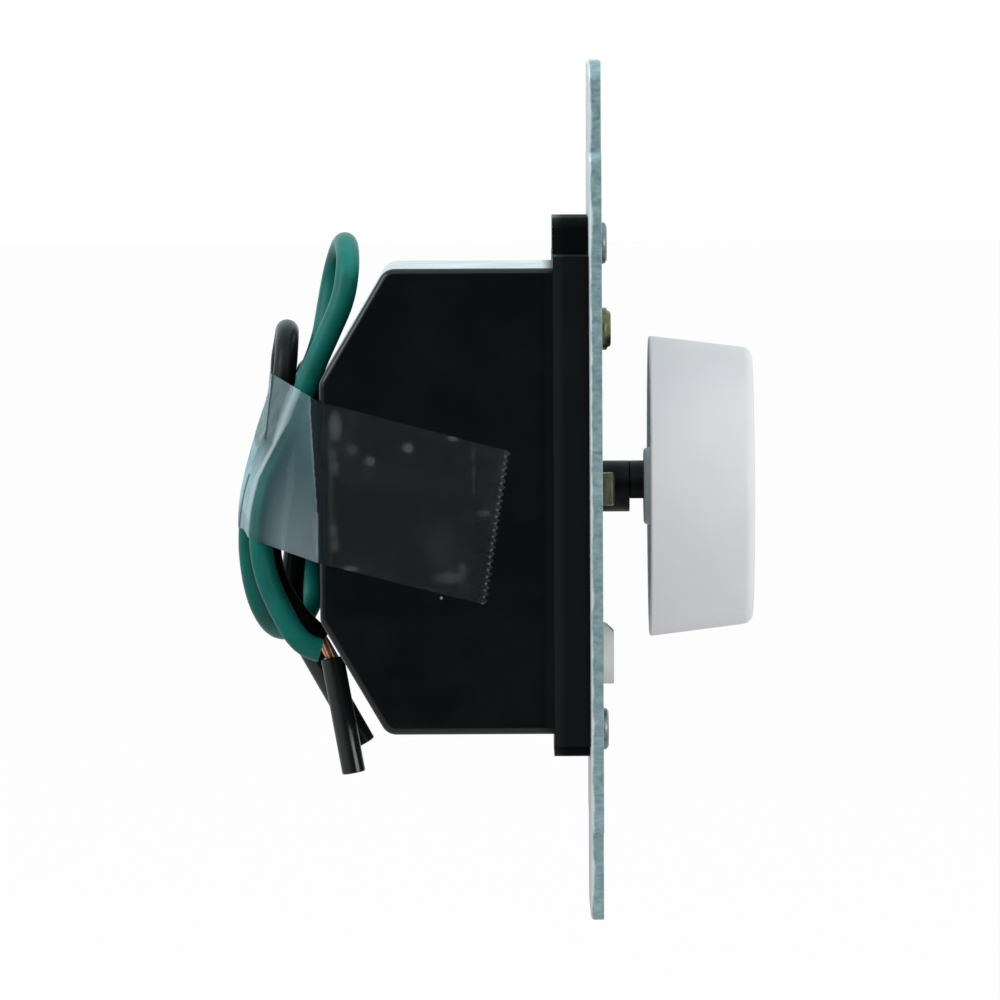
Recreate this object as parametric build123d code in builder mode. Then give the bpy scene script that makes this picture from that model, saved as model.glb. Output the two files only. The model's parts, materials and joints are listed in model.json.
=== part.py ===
from build123d import *
import os
from math import radians, tan

# Rotary fan speed control for a single-gang wall box, in millimetres.
# The origin is on the strap's rear face at the shaft's axis. +Z is up, the knob faces -Y, the housing +Y.

# Mounting strap
strap_height = 105.6
strap_width = 44.5
strap_thick = 1.6
strap_corner = 1.2
shoulder_height = 83.2
ear_width = 33.0
ear_corner = 2.4
box_screw_spacing = 83.34
box_slot_length = 7.6
box_slot_width = 4.4
plate_screw_spacing = 60.325

# Tapped eyelets that clamp the housing to the strap
eyelet_head_dia = 5.2
eyelet_head_thick = 0.8
eyelet_barrel_dia = 4.1
eyelet_bore_dia = 2.8
eyelet_flare_dia = 4.8
eyelet_flare_thick = 0.5
eyelet_flare_sink = 0.6

# Housing
body_width = 41.0
body_depth = 33.05
body_top = 27.6
body_bottom = -29.5
chamfer_depth = 8.15
chamfer_height = 13.87
corner_round = 2.0
side_round = 0.8
wall = 1.8
flange_thick = 4.4
flange_margin_x = 1.0
flange_margin_z = 1.45
housing_tab_width = 20.0
housing_tab_reach_up = 3.4
housing_tab_reach_down = 2.84
housing_tab_corner = 1.5
rail_height = 2.0
rail_width = 1.8
rail_length = 40.0
relief_side_room = 1.6
relief_depth = 5.0

# Potentiometer
frame_thick = 0.8
pot_dia = 20.0
pot_wall = 1.2
pot_case_length = 5.2
wafer_thick = 1.2
twist_tab_offset = 8.0
twist_tab_height = 4.1
twist_tab_thick = 0.8
twist_tab_proud = 1.56
twist_tab_turn = 16.0
journal_dia = 7.6
rotor_disc_thick = 1.0
wiper_thick = 0.3
wiper_track_dia = 13.0
terminal_width = 1.2
terminal_thick = 0.4
terminal_spacing = 5.0
terminal_drop = 1.5

# Shaft
shaft_dia = 6.35
shaft_flat_height = 4.6
shaft_round_reach = 3.5
collar_dia = 8.4
collar_thick = 0.8
key_width = 4.0
push_travel = 1.6

# Knob
knob_gap = 5.9
knob_depth = 12.85
knob_rear_dia = 37.3
knob_front_dia = 34.1
knob_edge_round = 1.6
knob_wall = 1.6
knob_face = 1.8
hub_dia = 9.5
hub_proud = 0.65
rib_count = 6
rib_thick = 1.0
rib_depth = 6.0
spring_leaf_thick = 0.35
spring_leaf_width = 3.0
spring_leaf_length = 6.0

# Push switch
switch_width = 22.0
switch_height = 18.0
switch_depth = 9.8
switch_wall = 1.5
plunger_dia = 6.0
plunger_flange_dia = 9.0
plunger_flange_thick = 1.0
plunger_nose_dia = 3.6
plunger_nose_length = 1.6
spring_wire_dia = 0.6
spring_coil_dia = 6.2
spring_turns = 5
blade_length = 16.4
blade_width = 2.2
blade_thick = 0.3
contact_width = 2.4
contact_gap = 0.6

# Circuit board and what stands on it
board_width = 36.0
board_height = 50.0
board_thick = 1.6
sheet_thick = 0.4
sheet_margin = 0.8
choke_pos = (-5.0, -9.0)
choke_core_dia = 20.0
choke_hole_dia = 10.0
choke_rear_room = 3.6
choke_wire_thick = 1.0
choke_wound_angle = 300
film_capacitor_face = (17.0, 8.0)
film_capacitor_rear_room = 3.2
film_capacitor_pos = (0.0, 14.0)
timing_capacitor_face = (9.0, 4.0)
timing_capacitor_rear_room = 4.2
timing_capacitor_pos = (-11.0, 6.0)
capacitor_round = 0.6
resistor_dia = 2.4
resistor_length = 6.5
resistor_pos = ((10.5, -14.0), (14.5, -14.0))
diac_dia = 2.0
diac_length = 4.5
diac_pos = (10.5, -5.5)

# Triac, flat on the strap, and its rivet
triac_pos = (-6.0, 19.7)
triac_width = 10.0
triac_length = 15.2
triac_hole_to_end = 3.2
triac_plate_thick = 1.3
triac_body_length = 8.8
triac_body_thick = 3.2
triac_pad_thick = 0.15
triac_leg_spacing = 2.54
triac_leg_width = 0.9
triac_leg_thick = 0.5
triac_leg_reach = 2.4
rivet_head_dia = 5.3
rivet_head_thick = 1.2
rivet_shank_dia = 3.2
rivet_flare_dia = 4.6
rivet_flare_thick = 0.7

# Low speed trim
trim_pos = (-9.0, -20.2)
trim_dial_dia = 7.6
trim_dial_thick = 1.3
trim_stem_dia = 4.0
trim_slot_width = 1.0
trim_slot_depth = 0.8
trim_notch = 1.1
trimmer_width = 9.5
trimmer_depth = 4.5
trimmer_corner = 1.5
trim_stem_seat = 2.0

# Leads: where each one goes through the housing's rear wall, and its section
lead_dia = 2.9
strand_dia = 1.5
line_exit = (8.0, 5.0)
load_exit = (15.0, 4.5)
ground_exit = (15.0, -2.0)
ground_tag_thick = 0.8
ground_tag_size = 6.5
ground_barrel_dia = 4.2
ground_barrel_length = 4.0
strip_gap = 0.1

# Clear tape
tape_width = 19.05
tape_thick = 0.2
tape_lead_in = 19.95

# Clearances
run_fit = 0.06
hole_fit = 0.1
slide_gap = 0.15
lead_fit = 0.15

# Depths that follow from the sizes above, front to rear
strap_front = -strap_thick
knob_rear = strap_front - knob_gap
knob_front = knob_rear - knob_depth
shaft_tip = knob_front + knob_face + slide_gap
shaft_shoulder = strap_front - shaft_round_reach
case_rear = frame_thick + pot_case_length
wafer_rear = case_rear + wafer_thick
collar_front = frame_thick + slide_gap
collar_rear = collar_front + collar_thick
rotor_seat = collar_rear + push_travel + slide_gap
shaft_rear = wafer_rear + 0.4
board_front = wafer_rear + switch_depth
board_rear = board_front + board_thick
rear_wall = body_depth - wall
component_room = rear_wall - board_rear
choke_core_height = component_room - choke_rear_room - 2 * choke_wire_thick

# Heights and half widths that several pieces share
body_centre = (body_top + body_bottom) / 2
body_height = body_top - body_bottom
eyelet_height = plate_screw_spacing / 2
housing_tab_top = eyelet_height + housing_tab_reach_up
housing_tab_bottom = -eyelet_height - housing_tab_reach_down
flare_front = flange_thick - eyelet_flare_sink
shaft_flat = shaft_flat_height - shaft_dia / 2
tape_side = body_width / 2 + 0.05

os.makedirs("parts", exist_ok=True)


def face_plane(depth):
    """Plane parallel to the strap, seen from the front, at this depth. A negative extrude runs rearwards."""
    return Plane.XZ.offset(-depth)


def turned(centre, points, mode=Mode.ADD):
    """Revolve a half profile of (radius, depth) points about an axis along Y through centre (x, z)."""
    x, z = centre
    with BuildSketch(Plane((x, 0, z))) as profile:
        with BuildLine():
            Polyline(*points, close=True)
        make_face()
    revolve(profile.sketch, axis=Axis((x, 0, z), (0, 1, 0)), mode=mode)


def rod(centre, dia, front, rear, mode=Mode.ADD):
    """Round bar along Y between two depths, or a bore with Mode.SUBTRACT."""
    with BuildSketch(face_plane(front)) as section:
        with Locations(centre):
            Circle(dia / 2)
    extrude(section.sketch, amount=front - rear, mode=mode)


def block(centre, width, height, front, rear, mode=Mode.ADD):
    """Rectangular bar along Y between two depths, or a cut with Mode.SUBTRACT."""
    with BuildSketch(face_plane(front)) as section:
        with Locations(centre):
            Rectangle(width, height)
    extrude(section.sketch, amount=front - rear, mode=mode)


def save(piece, name):
    """Label a finished piece and write it."""
    piece.part.label = name
    export_step(piece.part, f"parts/{name}.step")


# Mounting strap, stamped from sheet: a wide middle, narrower ears, slots and holes
with BuildPart() as mounting_strap:
    with BuildSketch(face_plane(strap_front)) as strap_outline:
        Rectangle(strap_width, shoulder_height)
        fillet(strap_outline.vertices(), strap_corner)
        Rectangle(ear_width, strap_height)
        ear_tips = strap_outline.vertices().group_by(Axis.Y)
        fillet(ear_tips[0] + ear_tips[-1], ear_corner)
        with GridLocations(0, box_screw_spacing, 1, 2):
            SlotOverall(box_slot_length, box_slot_width, mode=Mode.SUBTRACT)
        with GridLocations(0, plate_screw_spacing, 1, 2):
            Circle(eyelet_barrel_dia / 2 + run_fit, mode=Mode.SUBTRACT)
        with GridLocations(2 * twist_tab_offset, 0, 2, 1):
            Rectangle(twist_tab_thick + 2 * hole_fit, twist_tab_height + 2 * hole_fit, mode=Mode.SUBTRACT)
        Circle(shaft_dia / 2 + 4 * hole_fit, mode=Mode.SUBTRACT)
        with Locations(triac_pos):
            Circle(rivet_shank_dia / 2 + run_fit, mode=Mode.SUBTRACT)
        with Locations(trim_pos):
            Circle(trim_stem_dia / 2 + hole_fit, mode=Mode.SUBTRACT)
    extrude(amount=-strap_thick)
save(mounting_strap, "mounting_strap")

# Tapped eyelets: a head on the strap's front, a barrel through the housing's tab and a flare sunk in its rear
with BuildPart() as plate_screw_eyelets:
    for side in (1, -1):
        turned((0, side * eyelet_height), [
            (eyelet_bore_dia / 2, strap_front - eyelet_head_thick),
            (eyelet_head_dia / 2 - eyelet_head_thick / 2, strap_front - eyelet_head_thick),
            (eyelet_head_dia / 2, strap_front - eyelet_head_thick / 2),
            (eyelet_head_dia / 2, strap_front),
            (eyelet_barrel_dia / 2, strap_front),
            (eyelet_barrel_dia / 2, flare_front),
            (eyelet_flare_dia / 2, flare_front),
            (eyelet_flare_dia / 2, flare_front + eyelet_flare_thick),
            (eyelet_bore_dia / 2, flare_front + eyelet_flare_thick),
        ])
save(plate_screw_eyelets, "plate_screw_eyelets")


def side_outline(front):
    """Housing's side view, in (depth, height): flat top, bottom and rear, with two long chamfers."""
    return [
        (front, body_bottom),
        (body_depth - chamfer_depth, body_bottom),
        (body_depth, body_bottom + chamfer_height),
        (body_depth, body_top - chamfer_height),
        (body_depth - chamfer_depth, body_top),
        (front, body_top),
    ]


# Housing: one moulded shell, open at the front, with a flange and two tabs that the eyelets clamp
with BuildPart() as housing:
    with BuildSketch(Plane.YZ) as side_view:
        with BuildLine():
            Polyline(*side_outline(0), close=True)
        make_face()
        rear_corners = side_view.vertices().filter_by_position(Axis.X, flange_thick, body_depth)
        fillet(rear_corners, corner_round)
    extrude(amount=body_width / 2, both=True)
    side_faces = housing.faces().filter_by(Axis.X)
    rim_edges = side_faces.edges().filter_by_position(Axis.Y, flange_thick, body_depth)
    fillet(rim_edges, side_round)

    with BuildSketch(face_plane(0)) as flange_outline:
        with Locations((0, body_centre)):
            Rectangle(body_width + 2 * flange_margin_x, body_height + 2 * flange_margin_z)
        with Locations((0, (housing_tab_top + housing_tab_bottom) / 2)):
            Rectangle(housing_tab_width, housing_tab_top - housing_tab_bottom)
        tab_tips = flange_outline.vertices().group_by(Axis.Y)
        fillet(tab_tips[0] + tab_tips[-1], housing_tab_corner)
    extrude(amount=-flange_thick)

    # Inside of the shell, one wall inside the outline and open at the strap
    with BuildSketch(Plane.YZ) as inside_view:
        with BuildLine():
            Polyline(*side_outline(-wall), close=True)
        make_face()
        offset(amount=-wall, kind=Kind.INTERSECTION, mode=Mode.REPLACE)
    extrude(amount=body_width / 2 - wall, both=True, mode=Mode.SUBTRACT)

    # Rails along the side walls that the circuit board seats on
    rail_x = body_width / 2 - wall - rail_width / 2
    for side in (1, -1):
        block((side * rail_x, body_centre), rail_width, rail_length, board_rear, board_rear + rail_height)

    # Pocket under the lower tab, walled off from the inside, where the plate screw comes through
    relief_half = eyelet_flare_dia / 2 + relief_side_room
    relief_top = -eyelet_height + relief_half
    relief_rear = flange_thick + relief_depth
    pocket_height = relief_top + wall - body_bottom
    block((0, body_bottom + pocket_height / 2), 2 * (relief_half + wall), pocket_height, 0, relief_rear + wall)
    block((0, body_bottom - 1 + (relief_top - body_bottom + 1) / 2), 2 * relief_half,
          relief_top - body_bottom + 1, flange_thick, relief_rear, mode=Mode.SUBTRACT)

    for side in (1, -1):
        rod((0, side * eyelet_height), eyelet_barrel_dia + 2 * run_fit, 0, flange_thick, mode=Mode.SUBTRACT)
        rod((0, side * eyelet_height), eyelet_flare_dia + 2 * run_fit, flare_front, flange_thick, mode=Mode.SUBTRACT)
    for lead_exit in (line_exit, load_exit, ground_exit):
        rod(lead_exit, lead_dia + 2 * lead_fit, rear_wall, body_depth, mode=Mode.SUBTRACT)
save(housing, "housing")

# Fibre sheet behind the strap, cut away for what seats on the strap itself
with BuildPart() as insulating_sheet:
    with BuildSketch(face_plane(0)):
        with Locations((0, body_centre)):
            Rectangle(body_width - 2 * wall - 2 * sheet_margin, board_height)
        Circle(pot_dia / 2 + sheet_margin, mode=Mode.SUBTRACT)
        with Locations(trim_pos):
            Circle(trim_stem_dia / 2 + sheet_margin, mode=Mode.SUBTRACT)
        triac_centre = (triac_pos[0] - triac_hole_to_end + triac_length / 2, triac_pos[1])
        with Locations(triac_centre):
            Rectangle(triac_length + 2 * sheet_margin, triac_width + 2 * sheet_margin, mode=Mode.SUBTRACT)
        with Locations(ground_exit):
            Rectangle(ground_tag_size + sheet_margin, ground_tag_size + sheet_margin, mode=Mode.SUBTRACT)
        with Locations((0, body_bottom)):
            Rectangle(2 * (relief_half + wall + sheet_margin), 2 * (pocket_height + sheet_margin),
                      mode=Mode.SUBTRACT)
    extrude(amount=-sheet_thick)
save(insulating_sheet, "insulating_sheet")

# Potentiometer's stamped frame, with two tabs through the strap that are twisted to lock it
with BuildPart() as pot_frame:
    rod((0, 0), pot_dia, 0, frame_thick)
    rod((0, 0), shaft_dia + 2 * run_fit, 0, frame_thick, mode=Mode.SUBTRACT)
    for side in (1, -1):
        block((side * twist_tab_offset, 0), twist_tab_thick, twist_tab_height, strap_front, 0)
        with BuildSketch(face_plane(strap_front - twist_tab_proud)) as tab_head:
            with Locations((side * twist_tab_offset, 0)):
                Rectangle(twist_tab_thick, twist_tab_height, rotation=side * twist_tab_turn)
        extrude(tab_head.sketch, amount=-twist_tab_proud)
save(pot_frame, "pot_frame")

with BuildPart() as pot_case:
    rod((0, 0), pot_dia, frame_thick, case_rear)
    rod((0, 0), pot_dia - 2 * pot_wall, frame_thick, case_rear, mode=Mode.SUBTRACT)
save(pot_case, "pot_case")

with BuildPart() as track_wafer:
    rod((0, 0), pot_dia, case_rear, wafer_rear)
    rod((0, 0), journal_dia + 2 * run_fit, case_rear, wafer_rear, mode=Mode.SUBTRACT)
save(track_wafer, "track_wafer")

# Three terminals that hang from the wafer's lower edge and run back to the board
with BuildPart() as pot_terminals:
    terminal_level = -pot_dia / 2 - terminal_drop
    for x in (-terminal_spacing, 0, terminal_spacing):
        wafer_edge = -((pot_dia / 2) ** 2 - (abs(x) + terminal_width / 2) ** 2) ** 0.5
        drop = wafer_edge - terminal_level
        block((x, terminal_level + drop / 2), terminal_width, drop, wafer_rear - terminal_thick, wafer_rear)
        block((x, terminal_level + terminal_thick / 2), terminal_width, terminal_thick,
              wafer_rear, board_front)
    rod((0, 0), pot_dia, case_rear, wafer_rear, mode=Mode.SUBTRACT)
save(pot_terminals, "pot_terminals")

# Rotor: keyed to the shaft, which slides through it, and running in the wafer
with BuildPart() as pot_rotor:
    rotor_front = frame_thick + slide_gap
    disc_rear = case_rear - wiper_thick - 0.8
    disc_dia = pot_dia - 2 * pot_wall - 8 * hole_fit
    collar_bore = collar_dia + 2 * slide_gap
    turned((0, 0), [
        (0, rotor_seat),
        (collar_bore / 2, rotor_seat),
        (collar_bore / 2, rotor_front),
        (collar_bore / 2 + pot_wall, rotor_front),
        (collar_bore / 2 + pot_wall, disc_rear - rotor_disc_thick),
        (disc_dia / 2, disc_rear - rotor_disc_thick),
        (disc_dia / 2, disc_rear),
        (journal_dia / 2, disc_rear),
        (journal_dia / 2, wafer_rear - slide_gap),
        (0, wafer_rear - slide_gap),
    ])
    key_bore = key_width + 2 * run_fit
    block((0, 0), key_bore, key_bore, rotor_seat, wafer_rear, mode=Mode.SUBTRACT)
save(pot_rotor, "pot_rotor")

# Wiper: a ring on the rotor's rear face with two fingers that reach for the track
with BuildPart() as wiper:
    rod((0, 0), disc_dia - 1.0, disc_rear, disc_rear + wiper_thick)
    rod((0, 0), journal_dia + 1.0, disc_rear, disc_rear + wiper_thick, mode=Mode.SUBTRACT)
    for side in (1, -1):
        rod((side * wiper_track_dia / 2, 0), 1.4, disc_rear + wiper_thick, case_rear - hole_fit)
save(wiper, "wiper")

# Shaft: D-shaped where the knob grips it, round through the strap, a collar that traps it, then a square key
with BuildPart() as control_shaft:
    rod((0, 0), shaft_dia, shaft_tip, collar_front)
    rod((0, 0), collar_dia, collar_front, collar_rear)
    block((0, 0), key_width, key_width, collar_rear, shaft_rear)
    block((0, -shaft_flat - shaft_dia / 2), shaft_dia, shaft_dia, shaft_tip, shaft_shoulder, mode=Mode.SUBTRACT)
save(control_shaft, "control_shaft")

# Knob: a tapered cap with a hub that stands out behind the rim and grips the shaft
with BuildPart() as knob:
    taper = (knob_rear_dia - knob_front_dia) / 2 / knob_depth
    inner_front = knob_front + knob_face
    with BuildSketch(Plane.XY) as knob_profile:
        with BuildLine():
            Polyline(
                (0, inner_front),
                (knob_front_dia / 2 + taper * knob_face - knob_wall, inner_front),
                (knob_rear_dia / 2 - knob_wall, knob_rear),
                (knob_rear_dia / 2, knob_rear),
                (knob_front_dia / 2, knob_front),
                (0, knob_front),
                close=True,
            )
        make_face()
        front_corner = knob_profile.vertices().group_by(Axis.Y)[0].sort_by(Axis.X)[-1]
        fillet(front_corner, knob_edge_round)
    revolve(axis=Axis.Y)
    rod((0, 0), hub_dia, inner_front, knob_rear + hub_proud)
    # Ribs from the hub to the wall
    with BuildSketch(face_plane(inner_front)) as ribs:
        rib_reach = knob_front_dia / 2 - knob_wall
        with PolarLocations(0, rib_count):
            with Locations(((hub_dia / 2 + rib_reach) / 2 - 0.25, 0)):
                Rectangle(rib_reach - hub_dia / 2 + 1.0, rib_thick)
    extrude(ribs.sketch, amount=-rib_depth)
    # Bore for the shaft's D, with room under its flat for the leaf spring
    bore_dia = shaft_dia + 2 * run_fit
    spring_room = spring_leaf_thick + 2 * hole_fit
    bore_flat = shaft_flat + spring_room
    with BuildSketch(face_plane(inner_front)) as bore:
        Circle(bore_dia / 2)
        with Locations((0, -bore_flat - bore_dia / 2)):
            Rectangle(bore_dia, bore_dia, mode=Mode.SUBTRACT)
    extrude(bore.sketch, amount=inner_front - knob_rear - hub_proud, mode=Mode.SUBTRACT)
save(knob, "knob")

with BuildPart() as knob_spring:
    leaf_level = -shaft_flat - hole_fit - spring_leaf_thick / 2
    block((0, leaf_level), spring_leaf_width, spring_leaf_thick, shaft_tip + 1.0, shaft_tip + 1.0 + spring_leaf_length)
save(knob_spring, "knob_spring")

# Push switch behind the potentiometer: a case, a plunger on a spring, a blade and two contacts
with BuildPart() as switch_case:
    block((0, 0), switch_width, switch_height, wafer_rear, board_front)
    block((0, 0), switch_width - 2 * switch_wall, switch_height - 2 * switch_wall,
          wafer_rear + switch_wall, board_front, mode=Mode.SUBTRACT)
    rod((0, 0), plunger_dia + 2 * run_fit, wafer_rear, wafer_rear + switch_wall, mode=Mode.SUBTRACT)
save(switch_case, "switch_case")

with BuildPart() as switch_plunger:
    flange_front = wafer_rear + switch_wall + slide_gap
    flange_rear = flange_front + plunger_flange_thick
    turned((0, 0), [
        (0, shaft_rear),
        (plunger_dia / 2, shaft_rear),
        (plunger_dia / 2, flange_front),
        (plunger_flange_dia / 2, flange_front),
        (plunger_flange_dia / 2, flange_rear),
        (plunger_nose_dia / 2, flange_rear),
        (plunger_nose_dia / 2, flange_rear + plunger_nose_length),
        (0, flange_rear + plunger_nose_length),
    ])
save(switch_plunger, "switch_plunger")

with BuildPart() as plunger_spring:
    coil_start = flange_rear + spring_wire_dia / 2 + hole_fit
    coil_height = board_front - spring_wire_dia / 2 - hole_fit - coil_start
    with BuildLine() as coil:
        Helix(coil_height / spring_turns, coil_height, spring_coil_dia / 2, (0, coil_start, 0), (0, 1, 0))
    with BuildSketch(Plane(origin=coil.line @ 0, z_dir=coil.line % 0)):
        Circle(spring_wire_dia / 2)
    sweep()
save(plunger_spring, "plunger_spring")

with BuildPart() as switch_blade:
    blade_level = switch_height / 2 - switch_wall - 0.6 - blade_width / 2
    blade_rear = board_front - (board_front - flange_rear) / 2
    block((0, blade_level), blade_length, blade_width, blade_rear - blade_thick, blade_rear)
save(switch_blade, "switch_blade")

# Contacts: the left one carries the blade, the right one waits behind its free end
with BuildPart() as switch_contacts:
    contact_x = blade_length / 2 - contact_width / 2
    block((-contact_x, blade_level), contact_width, blade_width, blade_rear, board_front)
    block((contact_x, blade_level), contact_width, blade_width, blade_rear + contact_gap, board_front)
save(switch_contacts, "switch_contacts")

with BuildPart() as circuit_board:
    with BuildSketch(face_plane(board_front)):
        with Locations((0, body_centre)):
            Rectangle(board_width, board_height)
        with Locations(ground_exit):
            Circle(lead_dia / 2 + hole_fit, mode=Mode.SUBTRACT)
    extrude(amount=-board_thick)
save(circuit_board, "circuit_board")

# Triac: plate against the strap through a thin pad, moulded body on the plate, three legs to the board
triac_left = triac_pos[0] - triac_hole_to_end
triac_right = triac_left + triac_length
triac_body_centre = (triac_right - triac_body_length / 2, triac_pos[1])
plate_rear = triac_pad_thick + triac_plate_thick
rivet_hole_dia = rivet_shank_dia + 2 * run_fit

with BuildPart() as triac_pad:
    block(triac_centre, triac_length, triac_width, 0, triac_pad_thick)
    rod(triac_pos, rivet_hole_dia, 0, triac_pad_thick, mode=Mode.SUBTRACT)
save(triac_pad, "triac_pad")

with BuildPart() as triac_plate:
    block(triac_centre, triac_length, triac_width, triac_pad_thick, plate_rear)
    rod(triac_pos, rivet_hole_dia, triac_pad_thick, plate_rear, mode=Mode.SUBTRACT)
save(triac_plate, "triac_plate")

with BuildPart() as triac_body:
    block(triac_body_centre, triac_body_length, triac_width, plate_rear, plate_rear + triac_body_thick)
save(triac_body, "triac_body")

with BuildPart() as triac_legs:
    leg_front = plate_rear + triac_body_thick / 2
    leg_end = triac_right + triac_leg_reach
    for step in (-1, 0, 1):
        leg_z = triac_pos[1] + step * triac_leg_spacing
        block((triac_right + triac_leg_reach / 2, leg_z), triac_leg_reach, triac_leg_width,
              leg_front, leg_front + triac_leg_thick)
        block((leg_end - triac_leg_thick / 2, leg_z), triac_leg_thick, triac_leg_width, leg_front, board_front)
save(triac_legs, "triac_legs")

with BuildPart() as triac_rivet:
    turned(triac_pos, [
        (0, strap_front - rivet_head_thick),
        (rivet_head_dia / 2 - rivet_head_thick / 2, strap_front - rivet_head_thick),
        (rivet_head_dia / 2, strap_front - rivet_head_thick / 2),
        (rivet_head_dia / 2 - rivet_head_thick / 5, strap_front),
        (rivet_shank_dia / 2, strap_front),
        (rivet_shank_dia / 2, plate_rear),
        (rivet_flare_dia / 2, plate_rear),
        (rivet_flare_dia / 2 - rivet_flare_thick / 2, plate_rear + rivet_flare_thick),
        (0, plate_rear + rivet_flare_thick),
    ])
save(triac_rivet, "triac_rivet")

# Low speed trim: a slotted dial in front of the strap, on a stem that turns in the trimmer on the board
trimmer_front = board_front - trimmer_depth
with BuildPart() as trim_dial:
    dial_rear = strap_front - hole_fit
    dial_front = dial_rear - trim_dial_thick
    rod(trim_pos, trim_dial_dia, dial_front, dial_rear)
    rod(trim_pos, trim_stem_dia, dial_rear, trimmer_front + trim_stem_seat)
    with BuildSketch(face_plane(dial_front)) as driver_slot:
        with Locations(trim_pos):
            Rectangle(trim_dial_dia, trim_slot_width)
    extrude(driver_slot.sketch, amount=-trim_slot_depth, mode=Mode.SUBTRACT)
    # Slanted nick in the rim that shows the setting
    nick_z = trim_pos[1] + trim_dial_dia / 2
    with BuildSketch(Plane.YZ.offset(trim_pos[0])) as nick:
        with BuildLine():
            Polyline((dial_front, nick_z), (dial_front, nick_z - trim_notch),
                     (dial_front + trim_notch, nick_z), close=True)
        make_face()
    extrude(nick.sketch, amount=trim_dial_dia / 2, both=True, mode=Mode.SUBTRACT)
save(trim_dial, "trim_dial")

with BuildPart() as trimmer_body:
    with BuildSketch(face_plane(trimmer_front)) as trimmer_outline:
        with Locations(trim_pos):
            Rectangle(trimmer_width, trimmer_width)
        chamfer(trimmer_outline.vertices(), trimmer_corner)
    extrude(amount=-trimmer_depth)
    rod(trim_pos, trim_stem_dia + 2 * run_fit, trimmer_front, trimmer_front + trim_stem_seat + slide_gap,
        mode=Mode.SUBTRACT)
save(trimmer_body, "trimmer_body")

# Interference choke: a ring core with its winding over most of the ring
core_front = board_rear + choke_wire_thick
core_rear = core_front + choke_core_height
with BuildPart() as choke_core:
    rod(choke_pos, choke_core_dia, core_front, core_rear)
    rod(choke_pos, choke_hole_dia, core_front, core_rear, mode=Mode.SUBTRACT)
save(choke_core, "choke_core")

with BuildPart() as choke_winding:
    ring_middle = (choke_core_dia + choke_hole_dia) / 4
    ring_width = (choke_core_dia - choke_hole_dia) / 2
    core_middle = (core_front + core_rear) / 2
    with BuildSketch(Plane((choke_pos[0], 0, choke_pos[1]))) as wound:
        with Locations((ring_middle, core_middle)):
            RectangleRounded(ring_width + 2 * choke_wire_thick, choke_core_height + 2 * choke_wire_thick,
                             choke_wire_thick)
            Rectangle(ring_width, choke_core_height, mode=Mode.SUBTRACT)
    revolve(axis=Axis((choke_pos[0], 0, choke_pos[1]), (0, 1, 0)), revolution_arc=choke_wound_angle)
save(choke_winding, "choke_winding")


def box_capacitor(centre, face, rear_room):
    """Moulded box capacitor on the board's rear face, given its width and height and the room left behind it."""
    with BuildSketch(face_plane(board_rear)) as footprint:
        with Locations(centre):
            RectangleRounded(*face, capacitor_round)
    extrude(footprint.sketch, amount=rear_room - component_room)


with BuildPart() as suppression_capacitor:
    box_capacitor(film_capacitor_pos, film_capacitor_face, film_capacitor_rear_room)
save(suppression_capacitor, "suppression_capacitor")

with BuildPart() as timing_capacitor:
    box_capacitor(timing_capacitor_pos, timing_capacitor_face, timing_capacitor_rear_room)
save(timing_capacitor, "timing_capacitor")


def axial_body(centre, dia, length):
    """Small round part that lies upright on the board's rear face, touching it along a line."""
    with Locations((centre[0], board_rear + dia / 2, centre[1])):
        Cylinder(dia / 2, length)


with BuildPart() as resistors:
    for centre in resistor_pos:
        axial_body(centre, resistor_dia, resistor_length)
save(resistors, "resistors")

with BuildPart() as diac:
    axial_body(diac_pos, diac_dia, diac_length)
save(diac, "diac")

# Ground tag on the strap, with the barrel that the green lead is crimped in
with BuildPart() as ground_tag:
    barrel_rear = ground_tag_thick + ground_barrel_length
    block(ground_exit, ground_tag_size, ground_tag_size, 0, ground_tag_thick)
    rod(ground_exit, ground_barrel_dia, ground_tag_thick, barrel_rear)
save(ground_tag, "ground_tag")

# Leads inside the housing, straight from the board and the ground tag to the rear wall
with BuildPart() as inner_leads:
    for lead_exit in (line_exit, load_exit):
        rod(lead_exit, lead_dia, board_rear, rear_wall)
    rod(ground_exit, lead_dia, barrel_rear, rear_wall)
save(inner_leads, "inner_leads")

# Routes of the leads outside, from the rear wall's inner face to the end of the insulation
ground_route = [
    (ground_exit[0], rear_wall, ground_exit[1]),
    (15.0, 34.1, -2.0),
    (15.0, 36.2, -3.9),
    (14.9, 35.9, -7.4),
    (14.7, 34.6, -11.5),
    (13.2, 35.4, -15.2),
    (9.6, 37.3, -18.0),
    (4.6, 39.7, -18.4),
    (0.4, 41.3, -15.6),
    (-1.6, 42.0, -10.6),
    (-2.0, 42.1, -5.0),
    (-2.0, 41.0, 1.0),
    (-2.0, 38.8, 6.6),
    (-1.6, 35.4, 12.2),
    (0.5, 33.0, 17.6),
    (3.4, 32.2, 22.4),
    (4.0, 31.4, 26.9),
    (1.0, 30.4, 30.0),
    (-4.0, 29.8, 30.5),
    (-8.4, 29.5, 28.0),
    (-9.6, 30.1, 23.6),
    (-9.7, 31.9, 19.6),
    (-9.7, 33.9, 15.2),
    (-9.7, 35.6, 10.8),
    (-9.7, 37.8, 5.6),
    (-9.7, 39.8, 0.0),
    (-9.7, 40.7, -5.6),
    (-9.7, 39.9, -10.6),
    (-9.8, 38.1, -14.4),
    (-10.0, 36.0, -17.3),
    (-10.1, 34.4, -18.8),
    (-10.0, 33.1, -19.3),
]
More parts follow.
